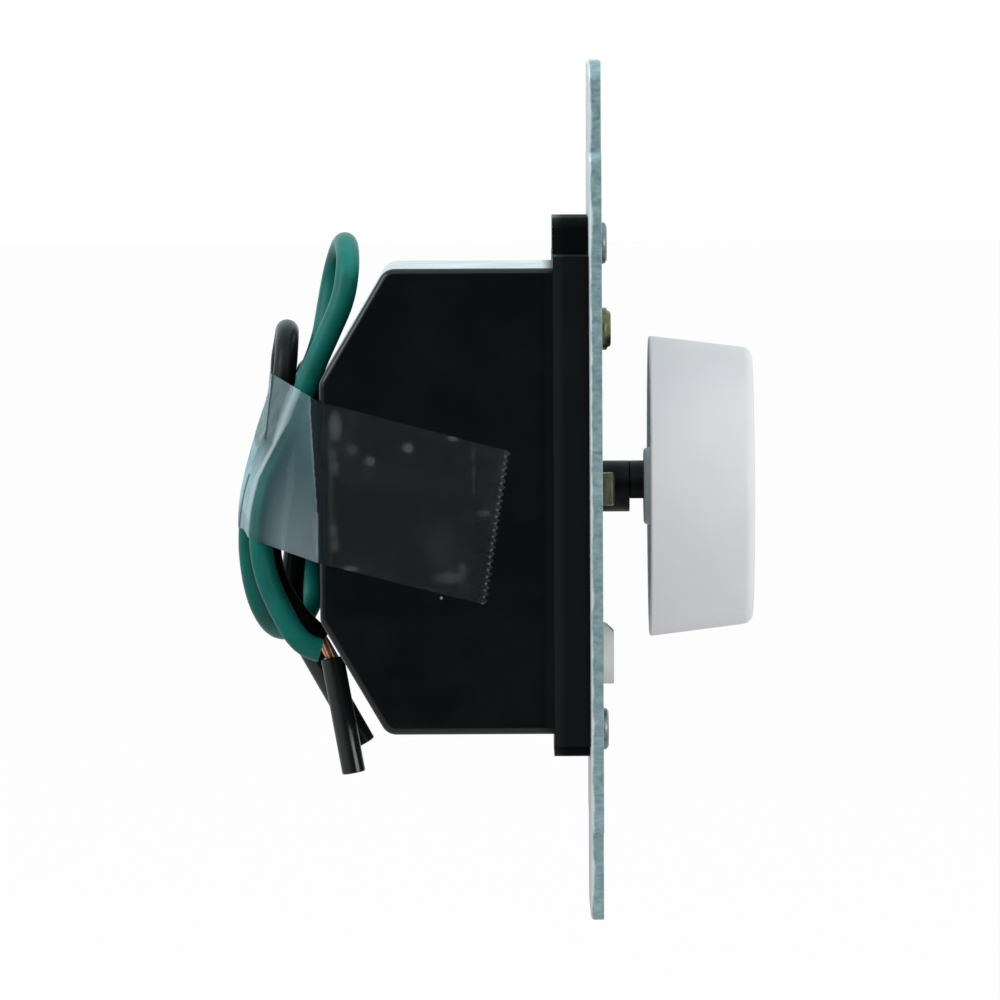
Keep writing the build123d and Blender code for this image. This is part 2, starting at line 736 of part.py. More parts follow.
line_route = [
    (line_exit[0], rear_wall, line_exit[1]),
    (8.0, 34.4, 5.0),
    (8.6, 36.9, 6.9),
    (9.5, 38.0, 10.4),
    (9.8, 38.2, 15.0),
    (7.6, 37.6, 18.1),
    (2.4, 37.3, 19.7),
    (-3.2, 37.2, 18.7),
    (-5.8, 37.4, 15.0),
    (-6.0, 38.1, 10.4),
    (-6.0, 38.6, 5.2),
    (-6.0, 38.1, -0.4),
    (-6.0, 37.1, -5.4),
    (-6.0, 36.7, -9.8),
    (-6.0, 36.8, -13.5),
    (-6.0, 35.9, -16.9),
    (-5.9, 33.7, -18.2),
]
load_route = [
    (load_exit[0], rear_wall, load_exit[1]),
    (15.0, 33.9, 4.5),
    (15.2, 35.3, 6.6),
    (14.9, 34.9, 10.4),
    (12.4, 34.8, 13.6),
    (8.4, 34.8, 14.6),
    (4.5, 34.9, 13.2),
    (2.4, 35.0, 9.6),
    (2.0, 34.9, 4.8),
    (2.0, 35.1, 0.0),
    (2.0, 36.0, -5.0),
    (2.0, 36.7, -10.0),
    (2.0, 37.0, -13.4),
    (2.0, 36.8, -15.6),
]
# Bare stretch of each stripped end, and the slug of insulation left on it
line_bare = [(-5.9, 33.7, -18.2), (-5.8, 32.2, -20.7)]
line_slug_run = [(-5.8, 32.2, -20.7), (-5.6, 29.2, -35.1)]
load_bare = [(2.0, 36.8, -15.6), (2.0, 36.0, -17.9)]
load_slug_run = [(2.0, 36.0, -17.9), (2.5, 28.0, -32.0)]


def corner_radii(points):
    """Largest arc that each corner's two runs leave room for."""
    spots = [Vector(*point) for point in points]
    radii = []
    for before, corner, after in zip(spots, spots[1:], spots[2:]):
        turn = (corner - before).get_angle(after - corner)
        shorter = min((corner - before).length, (after - corner).length)
        radii.append(0.45 * shorter / tan(radians(turn) / 2))
    return radii


def lead_tube(name, points):
    """Insulated lead along straight runs joined by tangent arcs. Prints its length and tightest bend."""
    radii = corner_radii(points)
    with BuildLine() as route:
        FilletPolyline(*points, radius=radii)
    with BuildSketch(Plane(origin=route.line @ 0, z_dir=route.line % 0)) as section:
        Circle(lead_dia / 2)
    sweep(section.sketch, path=route.line)
    print(name, "length", round(route.wire().length, 1), "radii", [round(radius, 1) for radius in radii])


def straight_run(ends, dia, shorten):
    """Round bar between two points, cut back at both ends."""
    start, end = Vector(*ends[0]), Vector(*ends[1])
    along = (end - start).normalized()
    with BuildSketch(Plane(origin=start + along * shorten, z_dir=along)) as section:
        Circle(dia / 2)
    extrude(section.sketch, amount=(end - start).length - 2 * shorten)


with BuildPart() as ground_lead:
    lead_tube("ground_lead", ground_route)
save(ground_lead, "ground_lead")

with BuildPart() as line_lead:
    lead_tube("line_lead", line_route)
save(line_lead, "line_lead")

with BuildPart() as load_lead:
    lead_tube("load_lead", load_route)
save(load_lead, "load_lead")

with BuildPart() as line_strands:
    straight_run(line_bare, strand_dia, 4 * strip_gap)
save(line_strands, "line_strands")

with BuildPart() as load_strands:
    straight_run(load_bare, strand_dia, 4 * strip_gap)
save(load_strands, "load_strands")

with BuildPart() as line_slug:
    straight_run(line_slug_run, lead_dia, 0)
save(line_slug, "line_slug")

with BuildPart() as load_slug:
    straight_run(load_slug_run, lead_dia, 0)
save(load_slug, "load_slug")

# Clear tape: a thin film from one side of the housing, over the leads, to the other side.
# Each station is the film's lower and upper edge and the way that its outer face looks.
tape_slope = 0.315
tape_end_low = (body_depth - tape_lead_in, -13.5)
tape_end_high = (body_depth - tape_lead_in - tape_width * tape_slope / 2, 5.3)
tape_stations = [
    ((-tape_side, tape_end_low[0], tape_end_low[1]), (-tape_side, tape_end_high[0], tape_end_high[1]), (-1, 0)),
    ((-tape_side, body_depth, -8.4), (-tape_side, body_depth, 11.4), (-0.93, 0.37)),
    ((-11.6, 42.5, -5.2), (-7.2, 39.5, 13.5), (-0.5, 0.87)),
    ((-2.0, 43.9, -4.8), (1.5, 39.7, 13.8), (0, 1)),
    ((15.9, 38.2, -5.9), (12.0, 39.9, 13.5), (0.6, 0.8)),
    ((tape_side, body_depth, -8.4), (tape_side, body_depth, 11.4), (0.93, 0.37)),
    ((tape_side, tape_end_low[0], tape_end_low[1]), (tape_side, tape_end_high[0], tape_end_high[1]), (1, 0)),
]
with BuildPart() as lead_tape:
    film_sections = []
    for low, high, facing in tape_stations:
        thickness = Vector(*facing, 0).normalized() * tape_thick
        low_edge, high_edge = Vector(*low), Vector(*high)
        with BuildSketch(Plane(origin=low_edge, x_dir=high_edge - low_edge,
                               z_dir=(high_edge - low_edge).cross(thickness))) as film:
            with BuildLine():
                Polyline((0, 0), ((high_edge - low_edge).length, 0),
                         ((high_edge - low_edge).length, tape_thick), (0, tape_thick), close=True)
            make_face()
        film_sections.append(film.sketch)
    loft(film_sections, ruled=True)
save(lead_tape, "lead_tape")
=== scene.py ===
"""Looks of a rotary fan speed control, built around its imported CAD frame.

Sizes are in millimetres in the row frame (+Z up, the knob towards -Y, the housing towards +Y) and
become metres when a piece is finished.
"""

import bisect
import json
import logging
import math
from collections.abc import Iterable
from dataclasses import dataclass
from enum import Enum
from typing import NamedTuple

import bmesh
import bpy
from mathutils import Matrix, Vector, noise
from mathutils.kdtree import KDTree

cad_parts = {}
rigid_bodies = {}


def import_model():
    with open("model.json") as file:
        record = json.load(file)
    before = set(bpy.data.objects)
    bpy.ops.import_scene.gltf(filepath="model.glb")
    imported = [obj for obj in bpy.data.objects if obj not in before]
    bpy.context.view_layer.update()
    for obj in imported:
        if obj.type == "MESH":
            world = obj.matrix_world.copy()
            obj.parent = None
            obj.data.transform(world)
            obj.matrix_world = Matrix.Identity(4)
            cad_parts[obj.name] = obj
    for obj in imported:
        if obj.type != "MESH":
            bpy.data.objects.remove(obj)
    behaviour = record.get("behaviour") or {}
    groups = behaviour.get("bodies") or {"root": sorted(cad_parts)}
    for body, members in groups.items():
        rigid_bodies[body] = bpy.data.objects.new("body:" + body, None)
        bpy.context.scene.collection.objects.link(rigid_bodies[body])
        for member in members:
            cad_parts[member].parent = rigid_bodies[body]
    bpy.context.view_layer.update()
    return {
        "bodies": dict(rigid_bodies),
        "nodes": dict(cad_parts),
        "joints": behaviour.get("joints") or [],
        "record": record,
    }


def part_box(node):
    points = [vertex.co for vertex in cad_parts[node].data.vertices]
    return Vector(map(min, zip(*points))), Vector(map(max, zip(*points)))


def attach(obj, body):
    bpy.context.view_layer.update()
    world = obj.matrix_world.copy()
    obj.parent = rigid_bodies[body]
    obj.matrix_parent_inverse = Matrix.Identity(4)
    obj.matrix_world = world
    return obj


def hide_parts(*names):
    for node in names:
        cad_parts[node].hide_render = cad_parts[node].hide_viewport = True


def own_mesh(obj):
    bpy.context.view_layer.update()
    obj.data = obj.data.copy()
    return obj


LOG = logging.getLogger("fan_speed_control")
MM = 0.001
# CAD bodies that carry the pieces made here.
BASE = "base"
KNOB = "knob"
TRIM = "trim"
# Attributes of the film's mesh that place its looks: bubbles, the veil, the painted glare
# and the painted shade.
GUM = "gum"
VEIL = "veil"
GLARE = "glare"
PAINTED_SHADE = "painted_shade"
# Tolerances in millimetres: points that are one, a cutting plane, a point on a circle.
WELD = 1e-4
CUT = 1e-5
ON_CIRCLE = 0.01
# Turns what is built along +Z towards -Y, where the room is.
FACING_ROOM = Matrix.Rotation(math.radians(90), 4, "X")
Point = tuple[float, float, float]
Pair = tuple[float, float]


class Ramp(NamedTuple):
    """A value that changes evenly between two places and is level beyond them.

    Attributes:
        low: the place where the change starts.
        high: the place where it ends.
        start: the value at the low place.
        end: the value at the high place.
    """

    low: float
    high: float
    start: float = 0.0
    end: float = 1.0

    def at(self, place: float) -> float:
        """Give the value at a place."""
        share = max(0.0, min(1.0, (place - self.low) / (self.high - self.low)))
        return self.start + (self.end - self.start) * share

    def sockets(self) -> dict[str, float]:
        """Give the same change as the values of a Map Range node."""
        return dict(zip(("From Min", "From Max", "To Min", "To Max"), self))


def linear(hex_colour: str) -> tuple[float, float, float, float]:
    """Turn an sRGB hex colour into linear RGBA.

    Args:
        hex_colour: six hex digits after a hash sign.

    Returns:
        The colour as Blender's sockets take it.
    """
    channels = [int(hex_colour[i:i + 2], 16) / 255 for i in (1, 3, 5)]
    red, green, blue = (c / 12.92 if c <= 0.04045 else ((c + 0.055) / 1.055) ** 2.4
                        for c in channels)
    return red, green, blue, 1.0


def add_node(tree: bpy.types.NodeTree, kind: str, values: dict | None = None,
             links: dict | None = None, **settings: object) -> bpy.types.Node:
    """Add a node with its settings, socket values and links.

    Args:
        tree: node tree that gets the node.
        kind: the node's type name.
        values: input socket to the constant set on it.
        links: input socket to the output socket that feeds it.
        **settings: the node's own properties.

    Returns:
        The new node.
    """
    node = tree.nodes.new(kind)
    for name, value in settings.items():
        setattr(node, name, value)
    for socket, value in (values or {}).items():
        node.inputs[socket].default_value = value
    for socket, source in (links or {}).items():
        tree.links.new(source, node.inputs[socket])
    return node


def blank_material(name: str) -> bpy.types.Material:
    """Make a material whose node tree is empty.

    Args:
        name: the material's name.

    Returns:
        The new material.
    """
    made = bpy.data.materials.new(name)
    made.use_nodes = True
    made.node_tree.nodes.clear()
    return made


class Grain(Enum):
    """How a finish varies over its surface."""

    CLOUDY = "soft cloudy patches"
    BRUSHED = "fine parallel lines"
    SPANGLED = "crystal patches of a zinc coat"
    STREAKED = "drawn or sheared streaks"


# How many finer octaves each noise grain has, and the part of the noise that spans its two ends.
GRAIN_DETAIL = {Grain.CLOUDY: 4.0, Grain.BRUSHED: 2.0, Grain.STREAKED: 6.0}
GRAIN_SPREAD = Ramp(0.3, 0.7)


@dataclass(frozen=True)
class Finish:
    """One surface finish: its two colours, its gloss and the grain that mixes them.

    Attributes:
        name: the material's name.
        pale: sRGB hex colour at the grain's high end.
        deep: sRGB hex colour at the grain's low end.
        roughness: roughness at the grain's low and high end.
        grain: the kind of variation.
        grain_mm: the variation's real size.
        bump_mm: height of the fine relief.
        relief_mm: spacing of the fine relief.
        metallic: 1 for bare metal.
        ior: index of refraction, left at its default for metal.
        gloss: level of the surface reflection, 0.5 for plain plastic.
        speck: radius of a speck of pale dust as a share of the specks' spacing; 0 for no dust.
        speck_mm: the specks' spacing.
        speck_cover: how far a speck hides the surface.
        dust: sRGB hex colour of the specks.
        stretch: how far the grain is drawn out along X, Y and Z.
        band: where along Y a burnished band starts, in millimetres, and its colour; None for none.
        band_grain_mm: size of the raggedness of the band's edge.
        band_wander_mm: how far that edge wanders.
        band_blur_mm: half the width over which it blends.
        matt_to: the Y in millimetres up to which the surface is matt; None for gloss all over.
        matt_fade: how far behind that, in millimetres, the gloss is full.
        matt_gloss: level of the surface reflection where it is matt.
        matt_roughness: roughness there.
    """

    name: str
    pale: str
    deep: str
    roughness: Pair
    grain: Grain = Grain.CLOUDY
    grain_mm: float = 4.0
    bump_mm: float = 0.004
    relief_mm: float = 0.25
    metallic: float = 0.0
    ior: float = 1.5
    gloss: float = 0.5
    speck: float = 0.0
    speck_mm: float = 7.0
    speck_cover: float = 0.5
    dust: str = "#aeb9b9"
    stretch: Point = (1.0, 1.0, 1.0)
    band: tuple[float, str] | None = None
    band_grain_mm: float = 4.5
    band_wander_mm: float = 1.2
    band_blur_mm: float = 0.12
    matt_to: float | None = None
    matt_fade: float = 0.1
    matt_gloss: float = 0.08
    matt_roughness: float = 0.75

    def material(self) -> bpy.types.Material:
        """Give the finish's material, made the first time that it is asked for.

        Returns:
            A node material that reads Object coordinates.
        """
        made = bpy.data.materials.get(self.name)
        if made:
            return made
        made = blank_material(self.name)
        tree = made.node_tree
        spot = add_node(tree, "ShaderNodeTexCoord").outputs["Object"]
        drawn = add_node(tree, "ShaderNodeMapping", {"Scale": [1 / s for s in self.stretch]},
                         {"Vector": spot}).outputs["Vector"]
        pattern = self._pattern(tree, drawn)
        colour = self._banded(tree, self._dusty(tree, self._colour(tree, pattern), spot), spot)
        gloss = add_node(tree, "ShaderNodeMapRange", Ramp(0.0, 1.0, *self.roughness).sockets(),
                         {"Value": pattern}).outputs["Result"]
        relief = add_node(tree, "ShaderNodeTexNoise",
                          {"Scale": 1 / (self.relief_mm * MM), "Detail": 3.0}, {"Vector": drawn})
        bump = add_node(tree, "ShaderNodeBump", {"Distance": self.bump_mm * MM},
                        {"Height": relief.outputs["Fac"]})
        surface = add_node(tree, "ShaderNodeBsdfPrincipled",
                           {"Metallic": self.metallic, "IOR": self.ior,
                            "Specular IOR Level": self.gloss},
                           {"Base Color": colour, "Roughness": gloss,
                            "Normal": bump.outputs["Normal"]})
        if self.matt_to is not None:
            self._matt(tree, surface, gloss, spot)
        add_node(tree, "ShaderNodeOutputMaterial", links={"Surface": surface.outputs["BSDF"]})
        return made

    def _pattern(self, tree: bpy.types.NodeTree,
                 vector: bpy.types.NodeSocket) -> bpy.types.NodeSocket:
        """Make the grain, from 0 to 1.

        Args:
            tree: the material's node tree.
            vector: the coordinates it reads.

        Returns:
            The socket that carries it.
        """
        scale = 1 / (self.grain_mm * MM)
        if self.grain is Grain.SPANGLED:
            cells = add_node(tree, "ShaderNodeTexVoronoi", {"Scale": scale}, {"Vector": vector})
            tone = add_node(tree, "ShaderNodeSeparateColor",
                            links={"Color": cells.outputs["Color"]})
            return tone.outputs["Red"]
        field = add_node(tree, "ShaderNodeTexNoise",
                         {"Scale": scale, "Detail": GRAIN_DETAIL[self.grain]}, {"Vector": vector})
        spread = add_node(tree, "ShaderNodeMapRange", GRAIN_SPREAD.sockets(),
                          {"Value": field.outputs["Fac"]})
        return spread.outputs["Result"]

    def _colour(self, tree: bpy.types.NodeTree,
                pattern: bpy.types.NodeSocket) -> bpy.types.NodeSocket:
        """Mix the two colours by the grain.

        Args:
            tree: the material's node tree.
            pattern: the grain, from 0 to 1.

        Returns:
            The colour's socket.
        """
        ramp = add_node(tree, "ShaderNodeValToRGB", links={"Fac": pattern})
        for stop, shade in zip(ramp.color_ramp.elements, (self.deep, self.pale)):
            stop.color = linear(shade)
        return ramp.outputs["Color"]

    def _dusty(self, tree: bpy.types.NodeTree, colour: bpy.types.NodeSocket,
               spot: bpy.types.NodeSocket) -> bpy.types.NodeSocket:
        """Scatter the specks of dust over the colour.

        Args:
            tree: the material's node tree.
            colour: the colour between the specks.
            spot: the coordinates that place them.

        Returns:
            The colour's socket.
        """
        if not self.speck:
            return colour
        grit = add_node(tree, "ShaderNodeTexVoronoi", {"Scale": 1 / (self.speck_mm * MM)},
                        {"Vector": spot})
        dust = add_node(tree, "ShaderNodeMapRange",
                        Ramp(self.speck, self.speck * 1.4, self.speck_cover, 0.0).sockets(),
                        {"Value": grit.outputs["Distance"]})
        mixed = add_node(tree, "ShaderNodeMix", {7: linear(self.dust)},
                         {0: dust.outputs["Result"], 6: colour}, data_type="RGBA")
        return mixed.outputs[2]

    def _banded(self, tree: bpy.types.NodeTree, colour: bpy.types.NodeSocket,
                spot: bpy.types.NodeSocket) -> bpy.types.NodeSocket:
        """Lay the burnished band over the colour.

        Args:
            tree: the material's node tree.
            colour: the colour beside the band.
            spot: the coordinates that place it.

        Returns:
            The colour's socket.
        """
        if not self.band:
            return colour
        start, shade = self.band
        ragged = add_node(tree, "ShaderNodeTexNoise",
                          {"Scale": 1 / (self.band_grain_mm * MM), "Detail": 5.0},
                          {"Vector": spot})
        depth = add_node(tree, "ShaderNodeSeparateXYZ", links={"Vector": spot})
        wander = add_node(tree, "ShaderNodeMath",
                          {1: self.band_wander_mm * MM, 2: -self.band_wander_mm / 2 * MM},
                          {0: ragged.outputs["Fac"]}, operation="MULTIPLY_ADD")
        level = add_node(tree, "ShaderNodeMath",
                         links={0: depth.outputs["Y"], 1: wander.outputs["Value"]},
                         operation="ADD")
        blend = Ramp((start - self.band_blur_mm) * MM, (start + self.band_blur_mm) * MM)
        share = add_node(tree, "ShaderNodeMapRange", blend.sockets(),
                         {"Value": level.outputs["Value"]})
        mixed = add_node(tree, "ShaderNodeMix", {7: linear(shade)},
                         {0: share.outputs["Result"], 6: colour}, data_type="RGBA")
        return mixed.outputs[2]

    def _matt(self, tree: bpy.types.NodeTree, surface: bpy.types.Node,
              gloss: bpy.types.NodeSocket, spot: bpy.types.NodeSocket) -> None:
        """Turn the gloss down towards the front.

        Args:
            tree: the material's node tree.
            surface: the shader that it is turned down on.
            gloss: the roughness elsewhere.
            spot: the coordinates that place it.
        """
        depth = add_node(tree, "ShaderNodeSeparateXYZ", links={"Vector": spot})
        start, full = self.matt_to * MM, (self.matt_to + self.matt_fade) * MM
        level, rough = (
            add_node(tree, "ShaderNodeMapRange", Ramp(start, full, matt, beyond).sockets(),
                     {"Value": depth.outputs["Y"]}).outputs["Result"]
            for matt, beyond in ((self.matt_gloss, self.gloss), (self.matt_roughness, 0.0)))
        rougher = add_node(tree, "ShaderNodeMath", links={0: rough, 1: gloss},
                           operation="MAXIMUM")
        tree.links.new(level, surface.inputs["Specular IOR Level"])
        tree.links.new(rougher.outputs["Value"], surface.inputs["Roughness"])


@dataclass(frozen=True)
class ClearFilm:
    """Clear tape: a thin glossy film that mirrors what is beside it, with haze, smears and bubbles,
    and a veil of gum painted with shade, glare and a bluish reflection.

    Attributes:
        name: the material's name.
        haze: share of the surface that scatters light where the film is clean.
        smear: the same where the gum has smeared.
        bubble: the same in a trapped bubble, which the piece's own gum attribute places.
        smear_mm: size of the smears.
        roughness: roughness of the film's gloss.
        clear: sRGB hex colour of what passes straight through.
        milky: sRGB hex colour of the haze.
        veil_shade_and_sheen: sRGB hex colour of gum that touches nothing: painted shade under a
        painted bluish reflection, placed by the veil attribute.
        glaring: sRGB hex colour of the painted glare, a highlight placed by the glare attribute.
        painted_shade_colour: sRGB hex colour of the painted shade, placed by its attribute.
        mirrored: sRGB hex colour of what the film mirrors.
        mirror: how strongly the film's two faces mirror, against one clean face.
        mirror_most: the most that they mirror, at a slant, through the wrinkles.
        ripple_mm: spacing of the film's ripples.
        ripple_height_mm: their height.
        ior: index of refraction.
    """

    name: str = "clear tape film"
    haze: float = 0.008
    smear: float = 0.018
    bubble: float = 0.075
    smear_mm: float = 7.0
    roughness: float = 0.05
    clear: str = "#f6fafa"
    milky: str = "#dfe9ec"
    veil_shade_and_sheen: str = "#1d3842"
    glaring: str = "#d4e7ee"
    painted_shade_colour: str = "#22292c"
    mirrored: str = "#b4dce6"
    mirror: float = 1.1
    mirror_most: float = 0.42
    ripple_mm: float = 2.5
    ripple_height_mm: float = 0.02
    ior: float = 1.5

    def material(self) -> bpy.types.Material:
        """Give the film's material, made the first time that it is asked for.

        Returns:
            A node material that reads Object coordinates and the film's own attributes.
        """
        made = bpy.data.materials.get(self.name)
        if made:
            return made
        made = blank_material(self.name)
        tree = made.node_tree
        spot = add_node(tree, "ShaderNodeTexCoord").outputs["Object"]
        gum, veil, glare, painted_shade = (
            add_node(tree, "ShaderNodeAttribute", attribute_name=name).outputs["Fac"]
            for name in (GUM, VEIL, GLARE, PAINTED_SHADE))
        through = add_node(tree, "ShaderNodeBsdfTransparent", {"Color": linear(self.clear)})
        white = add_node(tree, "ShaderNodeBsdfDiffuse", {"Color": linear(self.milky)})
        hazy = add_node(tree, "ShaderNodeMixShader",
                        links={0: self._milk(tree, gum, spot), 1: through.outputs["BSDF"],
                               2: white.outputs["BSDF"]})
        # The veil's colour is painted: a dark bluish shade with a painted reflection, the painted
        # glare over it and the painted shade over both.
        lit = add_node(tree, "ShaderNodeMix",
                       {6: linear(self.veil_shade_and_sheen), 7: linear(self.glaring)}, {0: glare},
                       data_type="RGBA")
        shaded = add_node(tree, "ShaderNodeMix", {7: linear(self.painted_shade_colour)},
                          {0: painted_shade, 6: lit.outputs[2]}, data_type="RGBA")
        painted_veil = add_node(tree, "ShaderNodeBsdfDiffuse", links={"Color": shaded.outputs[2]})
        veiled = add_node(tree, "ShaderNodeMixShader",
                          links={0: veil, 1: hazy.outputs["Shader"], 2: painted_veil.outputs["BSDF"]})
        ripple = add_node(tree, "ShaderNodeTexNoise",
                          {"Scale": 1 / (self.ripple_mm * MM), "Detail": 2.0}, {"Vector": spot})
        bump = add_node(tree, "ShaderNodeBump", {"Distance": self.ripple_height_mm * MM},
                        {"Height": ripple.outputs["Fac"]}).outputs["Normal"]
        mirror = add_node(tree, "ShaderNodeBsdfGlossy",
                          {"Color": linear(self.mirrored), "Roughness": self.roughness},
                          {"Normal": bump})
        film = add_node(tree, "ShaderNodeMixShader",
                        links={0: self._gloss(tree, painted_shade, bump), 1: veiled.outputs["Shader"],
                               2: mirror.outputs["BSDF"]})
        add_node(tree, "ShaderNodeOutputMaterial", links={"Surface": film.outputs["Shader"]})
        return made

    def _milk(self, tree: bpy.types.NodeTree, gum: bpy.types.NodeSocket,
              spot: bpy.types.NodeSocket) -> bpy.types.NodeSocket:
        """Make the share of white haze: clean film, smears and bubbles.

        Args:
            tree: the material's node tree.
            gum: where the bubbles are.
            spot: the coordinates that place the smears.

        Returns:
            The socket that carries it.
        """
        smears = add_node(tree, "ShaderNodeTexNoise",
                          {"Scale": 1 / (self.smear_mm * MM), "Detail": 5.0}, {"Vector": spot})
        cloud = add_node(tree, "ShaderNodeMapRange",
                         Ramp(0.5, 0.75, self.haze, self.smear).sockets(),
                         {"Value": smears.outputs["Fac"]})
        milk = add_node(tree, "ShaderNodeMath", {1: self.bubble},
                        {0: gum, 2: cloud.outputs["Result"]}, operation="MULTIPLY_ADD")
        return milk.outputs["Value"]

    def _gloss(self, tree: bpy.types.NodeTree, painted_shade: bpy.types.NodeSocket,
               normal: bpy.types.NodeSocket) -> bpy.types.NodeSocket:
        """Make the share that is mirrored by both faces of the film, on the face that is met first.

        Args:
            tree: the material's node tree.
            painted_shade: how far the film is painted shaded, which also turns its gloss away.
            normal: the rippled normal.

        Returns:
            The socket that carries it.
        """
        edge = add_node(tree, "ShaderNodeFresnel", {"IOR": self.ior}, {"Normal": normal})
        both = add_node(tree, "ShaderNodeMath", {1: self.mirror}, {0: edge.outputs["Fac"]},
                        operation="MULTIPLY", use_clamp=True)
        share = add_node(tree, "ShaderNodeMath", {1: self.mirror_most},
                         {0: both.outputs["Value"]}, operation="MINIMUM")
        inside = add_node(tree, "ShaderNodeNewGeometry").outputs["Backfacing"]
        for hidden in (inside, painted_shade):
            left = add_node(tree, "ShaderNodeMath", {0: 1.0}, {1: hidden}, operation="SUBTRACT")
            share = add_node(tree, "ShaderNodeMath",
                             links={0: share.outputs["Value"], 1: left.outputs["Value"]},
                             operation="MULTIPLY")
        return share.outputs["Value"]


# Zinc plated sheet steel, rolled then plated: bright grey with faint crystal patches.
PLATED_SHEET = Finish("zinc plated sheet steel", "#cad1d3", "#b5bec1", (0.3, 0.42), Grain.SPANGLED,
                      1.6, 0.003, 0.3, metallic=1.0)
# The same sheet where the press sheared it: streaks through the thickness that sparkle.
SHEARED_EDGE = Finish("sheared steel edge", "#aecace", "#86aaae", (0.4, 0.54), Grain.STREAKED,
                      0.5, 0.008, 0.2, metallic=0.65, stretch=(1.0, 2.0, 1.0),
                      band=(-0.34, "#f0f6fa"))
# Drawn and plated steel eyelets.
PLATED_EYELET = Finish("plated eyelet steel", "#979f9f", "#717a7a", (0.28, 0.45), Grain.CLOUDY,
                       1.0, 0.004, 0.15, metallic=1.0)
# Yellow brass rivet, headed cold, with a dull film of handling.
RIVET_BRASS = Finish("rivet brass", "#7d815c", "#5a5f41", (0.24, 0.4), Grain.CLOUDY,
                     0.9, 0.006, 0.2, metallic=1.0)
# Phosphor bronze strip, rolled, brown with handling.
FRAME_BRONZE = Finish("phosphor bronze strip", "#bcb496", "#8e866e", (0.3, 0.46), Grain.BRUSHED,
                      0.5, 0.003, 0.2, metallic=1.0, stretch=(1.0, 1.0, 6.0))
# Black phenolic moulding, glossy but for its flange: nearly black, a little cloudy, with dust.
HOUSING_BLACK = Finish("black moulded phenolic", "#0e1315", "#0b0f10", (0.12, 0.19), Grain.CLOUDY,
                       6.0, 0.002, 0.3, speck=0.022, matt_to=3.0, matt_fade=3.4)
# White ABS moulding with a satin mould.
KNOB_WHITE = Finish("white moulded ABS", "#dedfe3", "#d9dade", (0.36, 0.48), Grain.CLOUDY,
                    9.0, 0.003, 0.2)
# Black acetal shaft, moulded.
SHAFT_BLACK = Finish("black acetal", "#0b0d0f", "#060809", (0.35, 0.5), Grain.CLOUDY,
                     2.0, 0.004, 0.2, gloss=0.25)
# White acetal for the trim dial and the switch plunger.
TRIM_WHITE = Finish("white acetal", "#d5d8d6", "#cacdca", (0.35, 0.5), Grain.CLOUDY,
                    3.0, 0.004, 0.2)
# Dark finish on the slanted face of the trim dial's nick.
NICK_DARK = Finish("dark nick finish", "#22282a", "#16191a", (0.5, 0.65), Grain.CLOUDY,
                     0.6, 0.004, 0.2)
# PVC insulation, extruded: smooth with faint die lines.
GREEN_PVC = Finish("green PVC insulation", "#15897f", "#107369", (0.32, 0.42), Grain.CLOUDY,
                   3.0, 0.006, 0.5, gloss=0.25)
BLACK_PVC = Finish("black PVC insulation", "#0a0d0e", "#070808", (0.28, 0.4), Grain.CLOUDY,
                   3.0, 0.006, 0.5, gloss=0.24)
# The same insulation where it was cut and pulled: polished by the stripper, so glossier, and
# painted lighter than the lead's black for the light that it catches.
SLUG_PVC = Finish("pulled black PVC painted lighter", "#181d1f", "#101415", (0.16, 0.26), Grain.STREAKED,
                  1.2, 0.01, 0.6, gloss=0.6, stretch=(1.0, 1.0, 8.0))
# Bare copper strands, drawn.
BARE_COPPER = Finish("bare copper strand", "#ffd0b2", "#dc9c76", (0.34, 0.5), Grain.STREAKED,
                     0.3, 0.004, 0.1, metallic=1.0)
# Pieces inside the housing.
SPRING_STEEL = Finish("spring steel", "#a9abac", "#7f8283", (0.3, 0.45), Grain.BRUSHED,
                      0.5, metallic=1.0)
FIBRE_SHEET = Finish("vulcanised fibre", "#5c4f42", "#463b30", (0.7, 0.85), Grain.CLOUDY,
                     1.5, 0.02, 0.3)
PHENOLIC = Finish("phenolic laminate", "#83603a", "#6d4c2b", (0.45, 0.6), Grain.BRUSHED,
                  0.8, 0.006, 0.3, stretch=(1.0, 1.0, 4.0))
INNER_BLACK = Finish("black filled nylon", "#1c1c1e", "#131314", (0.45, 0.6), Grain.CLOUDY,
                     2.0, 0.008, 0.2)
TINNED_BRASS = Finish("tinned brass", "#c9bd9c", "#a2957a", (0.3, 0.45), Grain.BRUSHED,
                      0.4, metallic=1.0)
FERRITE = Finish("sintered ferrite", "#37383a", "#28292b", (0.6, 0.8), Grain.CLOUDY,
                 0.8, 0.02, 0.25)
ENAMELLED_WIRE = Finish("enamelled copper wire", "#a5592f", "#7b3a1c", (0.2, 0.35), Grain.STREAKED,
                        0.6, 0.05, 0.5, metallic=1.0)
DIPPED_RESIN = Finish("dipped capacitor resin", "#b06a1e", "#94530f", (0.25, 0.4), Grain.CLOUDY,
                      3.0, 0.02, 1.0)
RESISTOR_TAN = Finish("resistor enamel", "#c7ab7f", "#b0946a", (0.4, 0.55), Grain.CLOUDY,
                      1.0, 0.006, 0.3)
HEAT_PAD = Finish("silicone pad", "#b4b8ba", "#a3a8ab", (0.6, 0.75), Grain.CLOUDY,
                  1.0, 0.006, 0.3)
# Polypropylene packing film, rolled thin and gummed: clear, glossy, milky where it is loose,
# where its veil carries painted shade, painted glare and a painted bluish reflection.
CLEAR_FILM = ClearFilm()
# The cut rim of the same film, which scatters more.
FILM_RIM = ClearFilm("cut rim of clear film", haze=0.015, smear=0.03, mirror=0.3)

